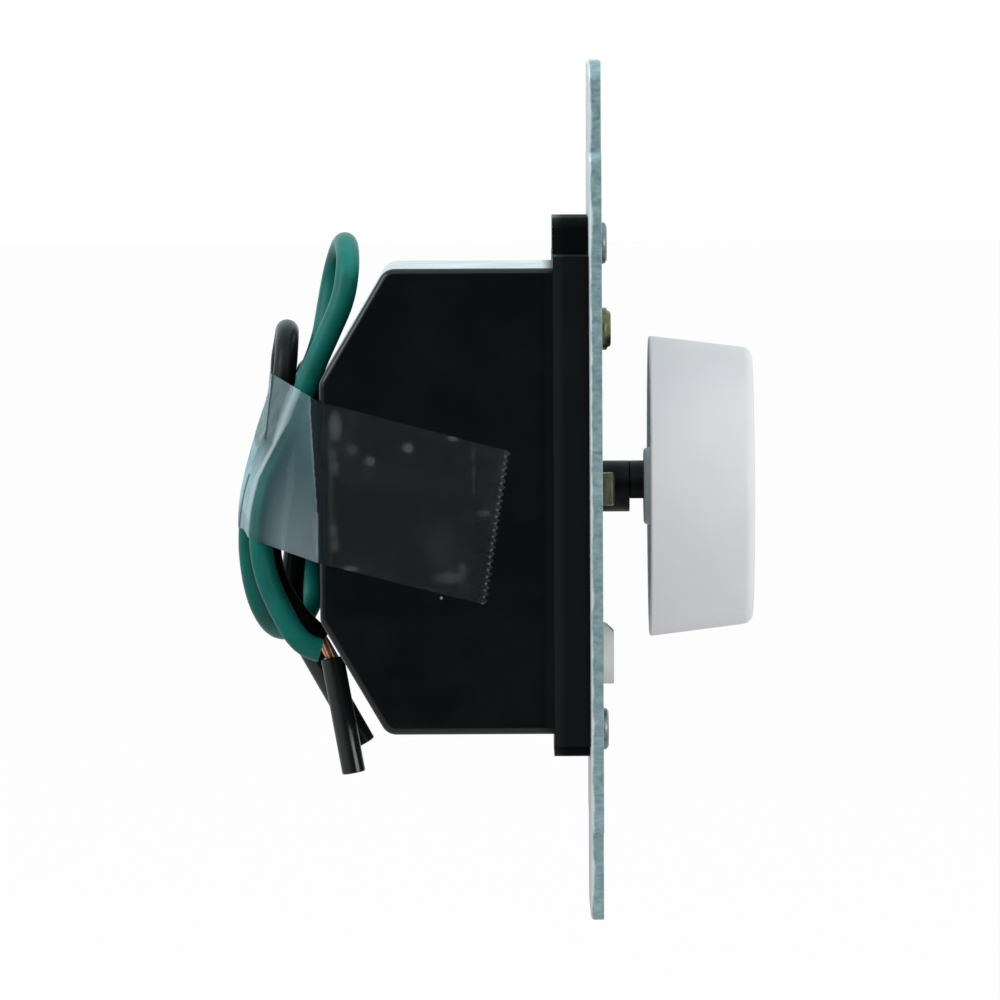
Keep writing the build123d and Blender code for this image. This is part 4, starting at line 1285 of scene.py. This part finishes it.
@dataclass
class Leads:
    """The three leads behind the housing, the stripped ends' bare strands and the slugs on them."""

    dia: float = 2.9
    core: float = 1.5
    strand: float = 0.42
    strand_sides: int = 10
    strands: int = 7
    twist_steps: int = 8
    gap_twist_deg: float = 40.0
    slug_twist_deg: float = 8.0
    gap_bite: float = 0.6
    sleeve_chamfer: float = 0.12
    sleeve_mouth: float = 0.5
    sleeve_steps: int = 40
    tip_start: float = 0.8
    tip_end: float = 0.05
    line_gap: tuple[Point, Point] = ((-5.9, 33.0, -18.6), (-5.8, 31.8, -20.8))
    line_slug: tuple[Point, Point] = ((-5.8, 31.8, -20.8), (-5.6, 29.2, -35.1))
    load_gap: tuple[Point, Point] = ((2.0, 36.8, -15.6), (2.0, 36.0, -17.9))
    load_slug: tuple[Point, Point] = ((2.0, 36.0, -17.9), (2.5, 28.0, -32.0))

    def build(self) -> None:
        """Lay the leads, then dress their ends."""
        ends = {
            GROUND.name: [],
            LINE.name: self._stripped_end("line", self.line_gap, self.line_slug),
            LOAD.name: self._stripped_end("load", self.load_gap, self.load_slug),
        }
        for lead in (GROUND, LINE, LOAD):
            wire = place_piece(lead.curve(self.dia), [lead.finish], BASE, lead.node)
            reach_of(lead.line()) * MM

    def _stripped_end(self, name: str, gap: tuple[Point, Point],
                      slug: tuple[Point, Point]) -> list[bpy.types.Object]:
        """Make the bare strands and the slug of one stripped end.

        Args:
            name: which lead, for the pieces' names.
            gap: the strands' two ends.
            slug: the slug's two ends.

        Returns:
            The two pieces.
        """
        bm = bmesh.new()
        reach = (Vector(gap[1]) - Vector(gap[0])).length
        self._bundle(bm, along(*gap), -self.gap_bite, reach + self.gap_bite, self.gap_twist_deg)
        copper = add_piece(f"{name}_bare_strands", bm, [BARE_COPPER], BASE, f"{name}_strands")
        bm = bmesh.new()
        reach = (Vector(slug[1]) - Vector(slug[0])).length
        self._sleeve(bm, along(*slug), reach)
        covered = len(bm.faces)
        self._bundle(bm, along(*slug), reach - self.tip_start, reach - self.tip_end,
                     self.slug_twist_deg)
        bm.faces.ensure_lookup_table()
        for face in bm.faces[covered:]:
            face.material_index = 1
        sleeve = add_piece(f"{name}_insulation_slug", bm, [SLUG_PVC, BARE_COPPER], BASE,
                           f"{name}_slug")
        return [copper, sleeve]

    def _sleeve(self, bm: bmesh.types.BMesh, place: Matrix, reach: float) -> None:
        """Add a length of insulation with hollow ends.

        Args:
            bm: mesh that gets it.
            place: the matrix that lays +Z along the lead.
            reach: its length.
        """
        outer, inner = self.dia / 2, self.core / 2
        mouth, chamfer = self.sleeve_mouth, self.sleeve_chamfer
        sleeve = bmesh.new()
        spun(sleeve, [(0, mouth), (inner, mouth), (inner, 0), (outer - chamfer, 0),
                      (outer, chamfer), (outer, reach - chamfer), (outer - chamfer, reach),
                      (inner, reach), (inner, reach - mouth), (0, reach - mouth)],
             (0, 0), closed=False, steps=self.sleeve_steps)
        # The sleeve is spun along Y, and this turn lays it along Z.
        join(bm, sleeve, place @ FACING_ROOM)

    def _bundle(self, bm: bmesh.types.BMesh, place: Matrix, start: float, end: float,
                twist_deg: float) -> None:
        """Add a bundle of twisted strands.

        Args:
            bm: mesh that gets them.
            place: the matrix that lays +Z along the lead.
            start: where they start along it.
            end: where they end.
            twist_deg: how far they turn on the way.
        """
        ring = self.core / 2 - self.strand / 2
        spots = [(0, 0)]
        for index in range(1, self.strands):
            turn = index * math.tau / (self.strands - 1)
            spots.append((ring * math.cos(turn), ring * math.sin(turn)))
        for spot in spots:
            wire = bmesh.new()
            bmesh.ops.create_circle(wire, segments=self.strand_sides, radius=self.strand / 2,
                                    matrix=at(*spot, start))
            bmesh.ops.spin(wire, geom=wire.verts[:] + wire.edges[:], cent=(0, 0, start),
                           axis=(0, 0, 1), dvec=(0, 0, (end - start) / self.twist_steps),
                           angle=math.radians(twist_deg), steps=self.twist_steps)
            cap(wire)
            join(bm, wire, place)


def taut(spots: Iterable[Vector]) -> list[Vector]:
    """Stretch a line over points, as a taut thread lies.

    Args:
        spots: flat points in the order of their first coordinate.

    Returns:
        The points that the line touches on their upper side.
    """
    chain: list[Vector] = []
    for spot in spots:
        while len(chain) > 1 and (chain[-1] - chain[-2]).cross(spot - chain[-1]) >= 0:
            chain.pop()
        chain.append(spot)
    return chain


def evened(row: list[Vector], reach: int) -> list[Vector]:
    """Even out a row of points with their neighbours on each side, fewer towards its ends.

    Args:
        row: the points.
        reach: how many neighbours on each side.

    Returns:
        The evened points.
    """
    smooth = []
    for place in range(len(row)):
        near = min(reach, place, len(row) - 1 - place)
        smooth.append(sum(row[place - near:place + near + 1], Vector((0, 0, 0))) / (2 * near + 1))
    return smooth


class FilmLook(NamedTuple):
    """How the film looks at a point.

    Attributes:
        veil: the share of what lies behind that the gum hides.
        glare: how strongly the painted glare, a highlight, shows on the veil.
        painted_shade: how far the film is painted shaded, its gloss turned away with it.
    """

    veil: float = 0.0
    glare: float = 0.0
    painted_shade: float = 0.0


class Seam(NamedTuple):
    """A stretch of a lead whose outer edge shows through the film, which is painted shaded over it.

    Attributes:
        stretch: points along the lead, from the lowest up.
        low: the lowest Z where it shows.
        high: the highest Z where it shows.
    """

    stretch: list[Vector]
    low: float
    high: float


class LeadBed:
    """The leads under the film, as the film meets them.

    Attributes:
        radius: the leads' radius, with the film's room.
        tree: every lead's points, for the nearest one.
        near: the stretch of the ground lead that the film meets first, from the lowest point up.
        seams: the stretches whose outer edge shows through the film, which is painted shaded there.
    """

    NEAR_X = (-12.0, -9.0)
    LINE_SEAM_X = (-6.3, -5.0)
    LINE_SEAM_Z = (6.2, 20.0)
    GROUND_SEAM_X = (-2.3, -1.4)
    GROUND_SEAM_Z = (-20.0, 2.0)
    SEAM_INSET = 0.2
    SEAM_HALF = 0.22

    def __init__(self, lines: list[list[Vector]], radius: float) -> None:
        """Sort the leads' points.

        Args:
            lines: points along the ground, line and load leads.
            radius: the leads' radius, with the film's room.
        """
        ground, line, _ = lines
        self.radius = radius
        self.tree = KDTree(sum(map(len, lines)))
        for index, point in enumerate(point for lead in lines for point in lead):
            self.tree.insert(point, index)
        self.tree.balance()
        self.near = self._stretch(ground, *self.NEAR_X)
        self.seams = (Seam(self._stretch(line, *self.LINE_SEAM_X), *self.LINE_SEAM_Z),
                      Seam(self._stretch(ground, *self.GROUND_SEAM_X), *self.GROUND_SEAM_Z))

    @staticmethod
    def _stretch(line: list[Vector], low_x: float, high_x: float) -> list[Vector]:
        """Pick a lead's points between two X, from the lowest up."""
        return sorted((point for point in line if low_x < point.x < high_x),
                      key=lambda point: point.z)

    @staticmethod
    def level(stretch: list[Vector], height: float) -> float:
        """Read how far back a stretch's middle line is at a height.

        Args:
            stretch: points along the lead, from the lowest up.
            height: the Z that is asked for.

        Returns:
            The line's Y there.
        """
        place = bisect.bisect_left(stretch, height, key=lambda point: point.z)
        place = min(max(1, place), len(stretch) - 1)
        before, after = stretch[place - 1], stretch[place]
        return before.lerp(after, (height - before.z) / max(after.z - before.z, 1e-6)).y

    def gap(self, spot: Vector) -> float:
        """Give the room between a point and the nearest lead."""
        return self.tree.find(spot)[2] - self.radius

    def seam(self, spot: Vector) -> float:
        """Tell how close a point lies to a lead's outer edge that shows through, for the painted
        shade.

        Args:
            spot: a point of the film.

        Returns:
            1 on the edge, down to 0 beside it.
        """
        closest = 0.0
        for stretch, low, high in self.seams:
            if low < spot.z < high:
                beside = spot.y - self.level(stretch, spot.z) - self.radius + self.SEAM_INSET
                closest = max(closest, 1.0 - abs(beside) / self.SEAM_HALF)
        return closest


@dataclass
class LeadTape:
    """Clear film pulled from one side of the housing, over the leads, to the other; zigzag ends.

    Each row of the film runs straight along the housing's side, turns at the rear edge and then
    lies as a stretched film does, on the outermost leads at that height.
    """

    width: float = 19.05
    thick: float = 0.08
    tooth: float = 0.5
    teeth: int = 23
    side: float = 20.55
    rear: float = 33.05
    lead_radius: float = 1.52
    lead_steps: int = 24
    end_low: Pair = (13.1, -13.5)
    end_high: Pair = (10.1, 5.3)
    edge_low: float = -8.4
    edge_high: float = 11.4
    bundle_low: float = -4.8
    bundle_high: float = 14.25
    rise_reach: float = 14.0
    crest_x: float = -1.0
    crest_blend: float = 1.0
    slack: float = 0.55
    rows_per_tooth: int = 4
    side_columns: int = 70
    bundle_columns: int = 240
    corner_blur: int = 3
    row_blur: int = 6
    crisp_deg: float = 60.0
    # How far inside the housing's side the film counts as stuck to it, for its looks and its gum.
    stuck_within: float = 0.08
    gum_within: float = 0.3
    # Gum at the cut ends: in the hollows between the teeth, and on the teeth.
    hollow_gum: float = 1.6
    tooth_gum: float = 0.2
    # How a bubble fades towards its edge, and how far the far side's bubbles are moved along Y.
    bubble_fade: Ramp = Ramp(0.7, 1.2, 1.0, 0.0)
    far_bubbles: float = 2.3
    # On the far half: the veil by the gap to the nearest lead, and the painted glare of backlight.
    rear_veil: Ramp = Ramp(0.05, 0.9, 0.02, 0.14)
    rear_glare: float = 0.6
    # By height: how far past the near lead's middle the film stays stuck to it.
    stuck_past: Ramp = Ramp(1.5, 9.0, 1.36, 0.25)
    # How far the film by a seam is painted shaded.
    seam_shade: float = 0.85
    # Between the housing and the near lead: a painted shaded strip along the corner, as wide as the
    # height gives, then the veil and the painted glare by the way to the lead, the height and a
    # painted highlight along the fold by the strip.
    strip_width: Ramp = Ramp(-3.0, 10.0, 0.15, 1.0)
    strip_look: FilmLook = FilmLook(0.92, 0.012, 0.85)
    slant_veil: Ramp = Ramp(-1.9, -0.9, 0.8, 0.06)
    slant_glare: float = 0.07
    low_glare: Ramp = Ramp(-7.0, 3.0, 0.27, 0.0)
    high_glare: Ramp = Ramp(6.0, 10.0, 0.0, 0.03)
    trough_span: Pair = (-3.8, -1.6)
    trough_glare: Ramp = Ramp(7.0, 10.0, 0.1, 1.0)
    fold_width: float = 0.32
    fold_glare: Ramp = Ramp(-2.0, 8.0, 0.08, 0.4)
    # Beyond the near lead, where the film is drawn tight and its veil painted white with glare: the
    # upper part, by height, is thinner and dimmer, a painted glint runs through it, and fine
    # wrinkles of painted glare cross it.
    drawn_edge: float = 0.15
    drawn_veil: float = 0.74
    touching_veil: float = 0.06
    most_veil: float = 0.95
    upper_part: Ramp = Ramp(1.0, 6.0)
    upper_thinner: float = 0.36
    upper_dimmer: float = 0.6
    glint_middle: Ramp = Ramp(5.8, 9.5, 0.3, 0.85)
    glint_half: Ramp = Ramp(5.8, 9.5, 0.4, 0.95)
    glint_veil: float = 0.45
    glint_glare: float = 0.75
    wrinkle_glare: float = 0.2
    wrinkles_across: float = 2.4
    wrinkles_slant: float = 0.2
    wrinkles_along: float = 0.45
    wrinkle_seed: float = 1.7
    # Trapped bubbles and smears on the housing's side: Y, Z, half length along Y, half length
    # along Z, and strength.
    bubbles: tuple[tuple[float, float, float, float, float], ...] = (
        (31.1, 8.4, 0.75, 1.7, 0.5), (31.5, 4.9, 0.5, 0.7, 0.3), (31.3, 3.4, 0.6, 0.9, 0.3),
        (29.0, 5.5, 0.7, 0.7, 0.25), (26.8, 4.1, 0.6, 0.6, 0.5), (22.2, 5.7, 0.65, 0.6, 0.6),
        (16.7, 6.9, 0.6, 0.45, 0.6), (31.4, -4.4, 0.5, 0.9, 0.35), (31.3, -6.2, 0.6, 0.8, 0.3),
        (29.3, -9.1, 0.9, 0.4, 0.45), (12.9, -2.4, 0.8, 0.4, 0.25), (17.2, -10.2, 1.9, 0.7, 0.25),
        (15.6, -9.3, 0.5, 0.9, 0.25), (14.2, 3.0, 0.12, 3.4, 0.25), (31.6, 0.0, 0.35, 9.0, 0.12))

    def build(self) -> None:
        """Lay the film row by row over the leads, cut its ends and give it its thickness."""
        rows = self.rows_per_tooth * self.teeth
        lines = [lead.line() for lead in (GROUND, LINE, LOAD)]
        sheet = self._settled([self._row(lines, index / rows) for index in range(rows + 1)])
        self._pulled(sheet)
        self._toothed(sheet)
        film = add_piece("clear_tape", self._mesh(sheet, LeadBed(lines, self.lead_radius)),
                         [CLEAR_FILM, FILM_RIM], BASE, "lead_tape", sharp_deg=180)
        wall = film.modifiers.new("film thickness", "SOLIDIFY")
        wall.thickness = self.thick * MM
        wall.offset = 1.0
        wall.material_offset_rim = 1
        crisp = film.modifiers.new("crisp rim", "EDGE_SPLIT")
        crisp.split_angle = math.radians(self.crisp_deg)

    def _toothed(self, sheet: list[list[Vector]]) -> None:
        """Cut the film's ends to a zigzag.

        Args:
            sheet: the film's rows, whose ends move.
        """
        for index, row in enumerate(sheet):
            step = index % self.rows_per_tooth * 2 / self.rows_per_tooth
            for tip in (row[0], row[-1]):
                tip.y -= self.tooth * (1 - abs(1 - step))

    def _mesh(self, sheet: list[list[Vector]], bed: LeadBed) -> bmesh.types.BMesh:
        """Lay a grid on the film's rows, with its looks as attributes, painted glare and shade
        among them.

        Args:
            sheet: the film's rows.
            bed: the leads under the film.

        Returns:
            The film's mesh, without its thickness.
        """
        rows, columns = len(sheet) - 1, len(sheet[0]) - 1
        bm = bmesh.new()
        gum, *looks = (bm.verts.layers.float.new(name) for name in (GUM, VEIL, GLARE, PAINTED_SHADE))
        bmesh.ops.create_grid(bm, x_segments=columns, y_segments=rows, size=0.5)
        for vert in bm.verts:
            column, row = round((vert.co.x + 0.5) * columns), round((vert.co.y + 0.5) * rows)
            vert.co = sheet[row][column]
            cut = self.tooth_gum if row % self.rows_per_tooth else self.hollow_gum
            vert[gum] = max(self._gum(vert.co), cut if column in (0, columns) else 0.0)
            for layer, value in zip(looks, self._look(bed, vert.co)):
                vert[layer] = value
        bmesh.ops.recalc_face_normals(bm, faces=bm.faces)
        if sum(face.normal.y * face.calc_area() for face in bm.faces) < 0:
            bmesh.ops.reverse_faces(bm, faces=bm.faces)
        return bm

    def _gum(self, spot: Vector) -> float:
        """Tell how milky the film is at a point, from the bubbles under it.

        Args:
            spot: a point of the film.

        Returns:
            0 for clear film, up to 1.
        """
        if abs(spot.x) < self.side - self.gum_within:
            return 0.0
        shift = 0.0 if spot.x < 0 else self.far_bubbles
        milky = 0.0
        for y, z, half_y, half_z, strength in self.bubbles:
            reach = math.hypot((spot.y - y + shift) / half_y, (spot.z - z) / half_z)
            milky = max(milky, strength * self.bubble_fade.at(reach))
        return milky

    def _look(self, bed: LeadBed, spot: Vector) -> FilmLook:
        """Tell how the film looks at a point: clear on the housing and where it is stuck to a lead.

        Args:
            bed: the leads under the film.
            spot: a point of the film.

        Returns:
            Its veil, painted glare and painted shade.
        """
        if abs(spot.x) > self.side - self.stuck_within:
            return FilmLook()
        rear = self.rear_veil.at(bed.gap(spot))
        if spot.x > self.crest_x:
            return FilmLook(rear, self.rear_glare)
        past = spot.y - bed.level(bed.near, spot.z) - self.stuck_past.at(spot.z)
        if past < 0:
            return self._slant(past, spot)
        veil, glare = self._drawn(past, spot)
        # By a seam the veil thins, so the lead shows through, and the film is painted shaded.
        shade = self.seam_shade * bed.seam(spot)
        crest = Ramp(self.crest_x - self.crest_blend, self.crest_x, veil * (1.0 - shade), rear)
        return FilmLook(crest.at(spot.x), glare, shade)

    def _slant(self, past: float, spot: Vector) -> FilmLook:
        """Give the look between the housing and the near lead, darkest beside the lead; the rest is
        painted: a shaded strip by the corner, glare, and a highlight along the fold.

        Args:
            past: how far past the place where it leaves the near lead the point lies, under 0.
            spot: a point of the film.

        Returns:
            Its veil, painted glare and painted shade.
        """
        off_strip = spot.y - self.rear - self.strip_width.at(spot.z)
        if off_strip < 0:
            return self.strip_look
        glare = self.slant_glare + self.low_glare.at(spot.z) + self.high_glare.at(spot.z)
        trough = Ramp(*self.trough_span, 1.0, self.trough_glare.at(spot.z)).at(past)
        fold = Ramp(0.0, self.fold_width, self.fold_glare.at(spot.z), 0.0).at(off_strip)
        return FilmLook(self.slant_veil.at(past), glare * trough + fold)

    def _drawn(self, past: float, spot: Vector) -> Pair:
        """Give the look beyond the near lead, drawn tight: painted glare with a glint and fine
        wrinkles.

        Args:
            past: how far past the place where it leaves the near lead the point lies.
            spot: a point of the film.

        Returns:
            Its veil and its painted glare.
        """
        upper = self.upper_part.at(spot.z)
        aside = abs(past - self.glint_middle.at(spot.z)) / self.glint_half.at(spot.z)
        glint = max(0.0, 1.0 - aside)
        across = self.wrinkles_across * past + self.wrinkles_slant * spot.z
        wrinkle = noise.noise(Vector((across, self.wrinkles_along * spot.z, self.wrinkle_seed)))
        veil = Ramp(0.0, self.drawn_edge, self.touching_veil,
                    self.drawn_veil - self.upper_thinner * upper).at(past)
        glare = (1.0 - self.upper_dimmer * upper + self.glint_glare * glint
                 + self.wrinkle_glare * wrinkle)
        return min(self.most_veil, veil + self.glint_veil * glint), glare

    def _row(self, lines: list[list[Vector]], height: float) -> list[Vector]:
        """Lay one row of the film, from its near end to its far end.

        Args:
            lines: points along each lead.
            height: 0 at the film's lower edge, 1 at the upper.

        Returns:
            The row's points.
        """
        end_y, end_z, edge_z, bundle_z = (
            low + (high - low) * height
            for low, high in (*zip(self.end_low, self.end_high), (self.edge_low, self.edge_high),
                              (self.bundle_low, self.bundle_high)))
        end = Vector((-self.side, end_y, end_z))
        edge = Vector((-self.side, self.rear, edge_z))
        near = [end.lerp(edge, step / self.side_columns) for step in range(self.side_columns)]
        free = []
        for spot in self._spaced(self._hull(lines, bundle_z), self.bundle_columns):
            rise = min(1.0, (self.side - abs(spot.x)) / self.rise_reach)
            free.append(Vector((spot.x, spot.y, edge_z + (bundle_z - edge_z) * rise)))
        far = [Vector((-spot.x, spot.y, spot.z)) for spot in reversed(near)]
        return near + free + far

    def _hull(self, lines: list[list[Vector]], level: float) -> list[Vector]:
        """Stretch a line from edge to edge over the leads that cross one level.

        Args:
            lines: points along each lead.
            level: the level's Z.

        Returns:
            The corners of the stretched line, from -X to +X.
        """
        spots = [Vector((-self.side, self.rear)), Vector((self.side, self.rear))]
        turns = [math.pi * turn / self.lead_steps for turn in range(self.lead_steps + 1)]
        for line in lines:
            for before, after in zip(line, line[1:]):
                if (before.z - level) * (after.z - level) <= 0 and before.z != after.z:
                    centre = before.lerp(after, (level - before.z) / (after.z - before.z))
                    spots += [Vector((centre.x + self.lead_radius * math.cos(turn),
                                      centre.y + self.lead_radius * math.sin(turn)))
                              for turn in turns]
        return taut(sorted(spots, key=lambda spot: (spot.x, spot.y)))

    @staticmethod
    def _spaced(chain: list[Vector], count: int) -> list[Vector]:
        """Space points evenly along a chain.

        Args:
            chain: its corners.
            count: how many gaps.

        Returns:
            The spaced points, both ends included.
        """
        marks = [0.0]
        for before, after in zip(chain, chain[1:]):
            marks.append(marks[-1] + (after - before).length)
        spaced, index = [], 0
        for step in range(count + 1):
            reach = marks[-1] * step / count
            while index < len(chain) - 2 and marks[index + 1] < reach:
                index += 1
            gap = marks[index + 1] - marks[index]
            share = (reach - marks[index]) / gap if gap else 0.0
            spaced.append(chain[index].lerp(chain[index + 1], share))
        return spaced

    def _settled(self, sheet: list[list[Vector]]) -> list[list[Vector]]:
        """Even out the rows, and round the turns, as the film's own stiffness does.

        Args:
            sheet: the film's rows.

        Returns:
            The evened rows.
        """
        columns = [evened(list(column), self.row_blur) for column in zip(*sheet)]
        return [evened(list(row), self.corner_blur) for row in zip(*columns)]

    def _pulled(self, sheet: list[list[Vector]]) -> None:
        """Pull the film out between its furthest levels, as a stretched film has no hollow.

        Args:
            sheet: the film's rows, which move.
        """
        crests = [max(row, key=lambda spot: spot.y) for row in sheet]
        chain = taut(Vector((crest.z, crest.y)) for crest in crests)
        for index, (row, crest) in enumerate(zip(sheet, crests)):
            top, height = crest.y, crest.z
            after = next(place for place, spot in enumerate(chain)
                         if spot.x >= height or spot is chain[-1])
            low, high = chain[max(0, after - 1)], chain[after]
            span = high.x - low.x
            pull = low.lerp(high, (height - low.x) / span if span else 1.0).y - top
            pull += self.slack * math.sin(math.pi * index / (len(sheet) - 1))
            for spot in row:
                spot.y += pull * max(0.0, (spot.y - self.rear) / (top - self.rear)) ** 2


@dataclass
class Studio:
    """White surround with a dim card behind the camera, a pale floor and the photograph's view.

    The surround's directions point from the part, and each ramp gives the light by how far a
    direction agrees with one of them, from -1 to 1. The floor's ramps go by metres.
    """

    camera_side: Point = (-1.0, 0.0, 0.06)
    rear_side: Point = (0.0, 0.95, -0.3)
    dim_card: Ramp = Ramp(0.80, 0.96, 1.0, 0.03)
    near_side: Ramp = Ramp(0.3, 0.95, 1.0, 0.6)
    rear_flag: Ramp = Ramp(0.25, 0.85, 1.0, 0.3)
    bright_beyond: Ramp = Ramp(-0.9, -0.98, 1.0, 1.4)
    seen_tint: str = "#ffffff"
    mirrored_tint: str = "#e4f7f8"
    floor_level: float = -110.0
    floor_reach: float = 6000.0
    floor_card: Ramp = Ramp(-0.7, -0.15, 0.02, 0.6)
    floor_side: Ramp = Ramp(-0.02, 0.05)
    floor_glow: float = 0.92
    floor_front: str = "#f0f0f0"
    floor_rear: str = "#5c5e5e"
    floor_seen: str = "#f4f4f4"
    # Soft lamps: name, power in watts and place in metres.
    lamps: tuple[tuple[str, float, Point], ...] = (
        ("rear softbox", 2.0, (-0.35, 0.75, 0.55)), ("fill softbox", 2.4, (-0.6, -0.6, 0.0)))
    lamp_size: float = 0.5
    lamp_aim: Point = (0.0, 0.02, 0.0)
    distance: float = 1400.0
    elevation: float = 2.65
    roll: float = 0.27
    lens: float = 406.0
    sensor: float = 36.0
    target: Point = (0.0, 10.97, -1.68)

    def build(self) -> None:
        """Set the world, the floor, the lamps and the camera."""
        self._world()
        self._floor()
        self._lamps()
        self._camera()

    def _world(self) -> None:
        """Light the part from all round, with less from behind the camera."""
        world = bpy.data.worlds.new("studio surround")
        bpy.context.scene.world = world
        world.use_nodes = True
        tree = world.node_tree
        tree.nodes.clear()
        place = add_node(tree, "ShaderNodeTexCoord").outputs["Generated"]
        toward, rearward = (
            add_node(tree, "ShaderNodeVectorMath", {1: side}, {0: place},
                     operation="DOT_PRODUCT").outputs["Value"]
            for side in (self.camera_side, self.rear_side))
        card, near, flag = (
            add_node(tree, "ShaderNodeMapRange", ramp.sockets(), {"Value": agrees},
                     interpolation_type="SMOOTHSTEP").outputs["Result"]
            for ramp, agrees in ((self.dim_card, toward), (self.near_side, toward),
                                 (self.rear_flag, rearward)))
        beyond = add_node(tree, "ShaderNodeMapRange", self.bright_beyond.sockets(),
                          {"Value": toward}).outputs["Result"]
        soft, mirrored = (
            add_node(tree, "ShaderNodeMath", links={0: first, 1: second},
                     operation="MULTIPLY").outputs["Value"]
            for first, second in ((flag, near), (card, beyond)))
        path = add_node(tree, "ShaderNodeLightPath")
        unseen = add_node(tree, "ShaderNodeMix",
                          links={"Factor": path.outputs["Is Glossy Ray"], "A": soft,
                                 "B": mirrored}, data_type="FLOAT")
        strength = add_node(tree, "ShaderNodeMix", {"B": 1.0},
                            {"Factor": path.outputs["Is Camera Ray"],
                             "A": unseen.outputs["Result"]}, data_type="FLOAT")
        tint = add_node(tree, "ShaderNodeMix",
                        {6: linear(self.seen_tint), 7: linear(self.mirrored_tint)},
                        {0: path.outputs["Is Glossy Ray"]}, data_type="RGBA")
        sky = add_node(tree, "ShaderNodeBackground",
                       links={"Color": tint.outputs[2], "Strength": strength.outputs["Result"]})
        add_node(tree, "ShaderNodeOutputWorld", links={"Surface": sky.outputs["Background"]})

    def _floor(self) -> None:
        """Lay a pale floor that reads white and keeps a soft shadow."""
        bm = bmesh.new()
        bmesh.ops.create_grid(bm, x_segments=4, y_segments=4, size=self.floor_reach * MM,
                              matrix=at(0, 0, self.floor_level * MM))
        mesh = bpy.data.meshes.new("floor")
        bm.to_mesh(mesh)
        bm.free()
        mesh.materials.append(self._floor_material())
        floor = bpy.data.objects.new("floor", mesh)
        bpy.context.collection.objects.link(floor)

    def _floor_material(self) -> bpy.types.Material:
        """Give the floor's material: white to the camera, dimmer to what mirrors or is lit by it.

        Returns:
            A node material.
        """
        pale = blank_material("pale floor")
        tree = pale.node_tree
        path = add_node(tree, "ShaderNodeLightPath")
        seen, glossy = path.outputs["Is Camera Ray"], path.outputs["Is Glossy Ray"]
        place = add_node(tree, "ShaderNodeTexCoord")
        spot = add_node(tree, "ShaderNodeSeparateXYZ", links={"Vector": place.outputs["Object"]})
        card, side = (
            add_node(tree, "ShaderNodeMapRange", ramp.sockets(), {"Value": spot.outputs[axis]},
                     interpolation_type="SMOOTHSTEP").outputs["Result"]
            for ramp, axis in ((self.floor_card, "X"), (self.floor_side, "Y")))
        level = add_node(tree, "ShaderNodeMath", links={0: seen, 1: card}, operation="MAXIMUM")
        view = add_node(tree, "ShaderNodeMath", {1: self.floor_glow}, {0: seen},
                        operation="MULTIPLY")
        share = add_node(tree, "ShaderNodeMath", links={0: view.outputs["Value"], 1: glossy},
                         operation="MAXIMUM")
        lit = add_node(tree, "ShaderNodeMix",
                       {6: linear(self.floor_front), 7: linear(self.floor_rear)}, {0: side},
                       data_type="RGBA")
        bounce = add_node(tree, "ShaderNodeMix", {7: linear(self.floor_seen)},
                          {0: seen, 6: lit.outputs[2]}, data_type="RGBA")
        board = add_node(tree, "ShaderNodeBsdfDiffuse", links={"Color": bounce.outputs[2]})
        glow = add_node(tree, "ShaderNodeEmission", {"Color": linear("#ffffff")},
                        {"Strength": level.outputs["Value"]})
        both = add_node(tree, "ShaderNodeMixShader",
                        links={0: share.outputs["Value"], 1: board.outputs["BSDF"],
                               2: glow.outputs["Emission"]})
        add_node(tree, "ShaderNodeOutputMaterial", links={"Surface": both.outputs["Shader"]})
        return pale

    def _lamps(self) -> None:
        """Add a soft lamp over the rear, for the leads' highlights, and one on the knob's side."""
        for name, energy, spot in self.lamps:
            lamp = bpy.data.lights.new(name, "AREA")
            lamp.energy = energy
            lamp.size = self.lamp_size
            holder = bpy.data.objects.new(name, lamp)
            holder.location = spot
            aim = Vector(self.lamp_aim) - holder.location
            holder.rotation_euler = aim.to_track_quat("-Z", "Y").to_euler()
            bpy.context.collection.objects.link(holder)

    def _camera(self) -> None:
        """Look at the part's side from a little above, with the photograph's slight lean."""
        data = bpy.data.cameras.new("side view")
        data.lens = self.lens
        data.sensor_width = self.sensor
        data.clip_start = 0.01
        data.clip_end = 50.0
        camera = bpy.data.objects.new("side view", data)
        rise = math.radians(self.elevation)
        target = Vector(self.target) * MM
        away = Vector((-math.cos(rise), 0, math.sin(rise)))
        camera.location = target + away * self.distance * MM
        look = (target - camera.location).to_track_quat("-Z", "Y").to_matrix().to_4x4()
        lean = Matrix.Rotation(math.radians(-self.roll), 4, "Z")
        camera.rotation_euler = (look @ lean).to_euler()
        bpy.context.collection.objects.link(camera)
        bpy.context.scene.camera = camera


def dress_nodes(frame: dict) -> None:
    """Give every CAD node that stays its finish.
    """
    for node, finish in NODE_FINISHES.items():
        mesh = frame["nodes"][node].data
        mesh.materials.clear()
        mesh.materials.append(finish.material())
        LOG.info("%s takes %s", node, finish.name)


def main() -> None:
    """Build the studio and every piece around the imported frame."""
    logging.basicConfig(level=logging.INFO, format="%(name)s: %(message)s")
    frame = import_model()
    bpy.context.scene.view_settings.view_transform = "Standard"
    Studio().build()
    dress_nodes(frame)
    for assembly in (MountingStrap(), Fasteners(), PotFrame(), ControlShaft(), PlungerSpring(),
                     ControlKnob(), TrimDial(), Leads(), LeadTape()):
        assembly.build()
        LOG.info("%s built", type(assembly).__name__)


if __name__ == "__main__":
    main()
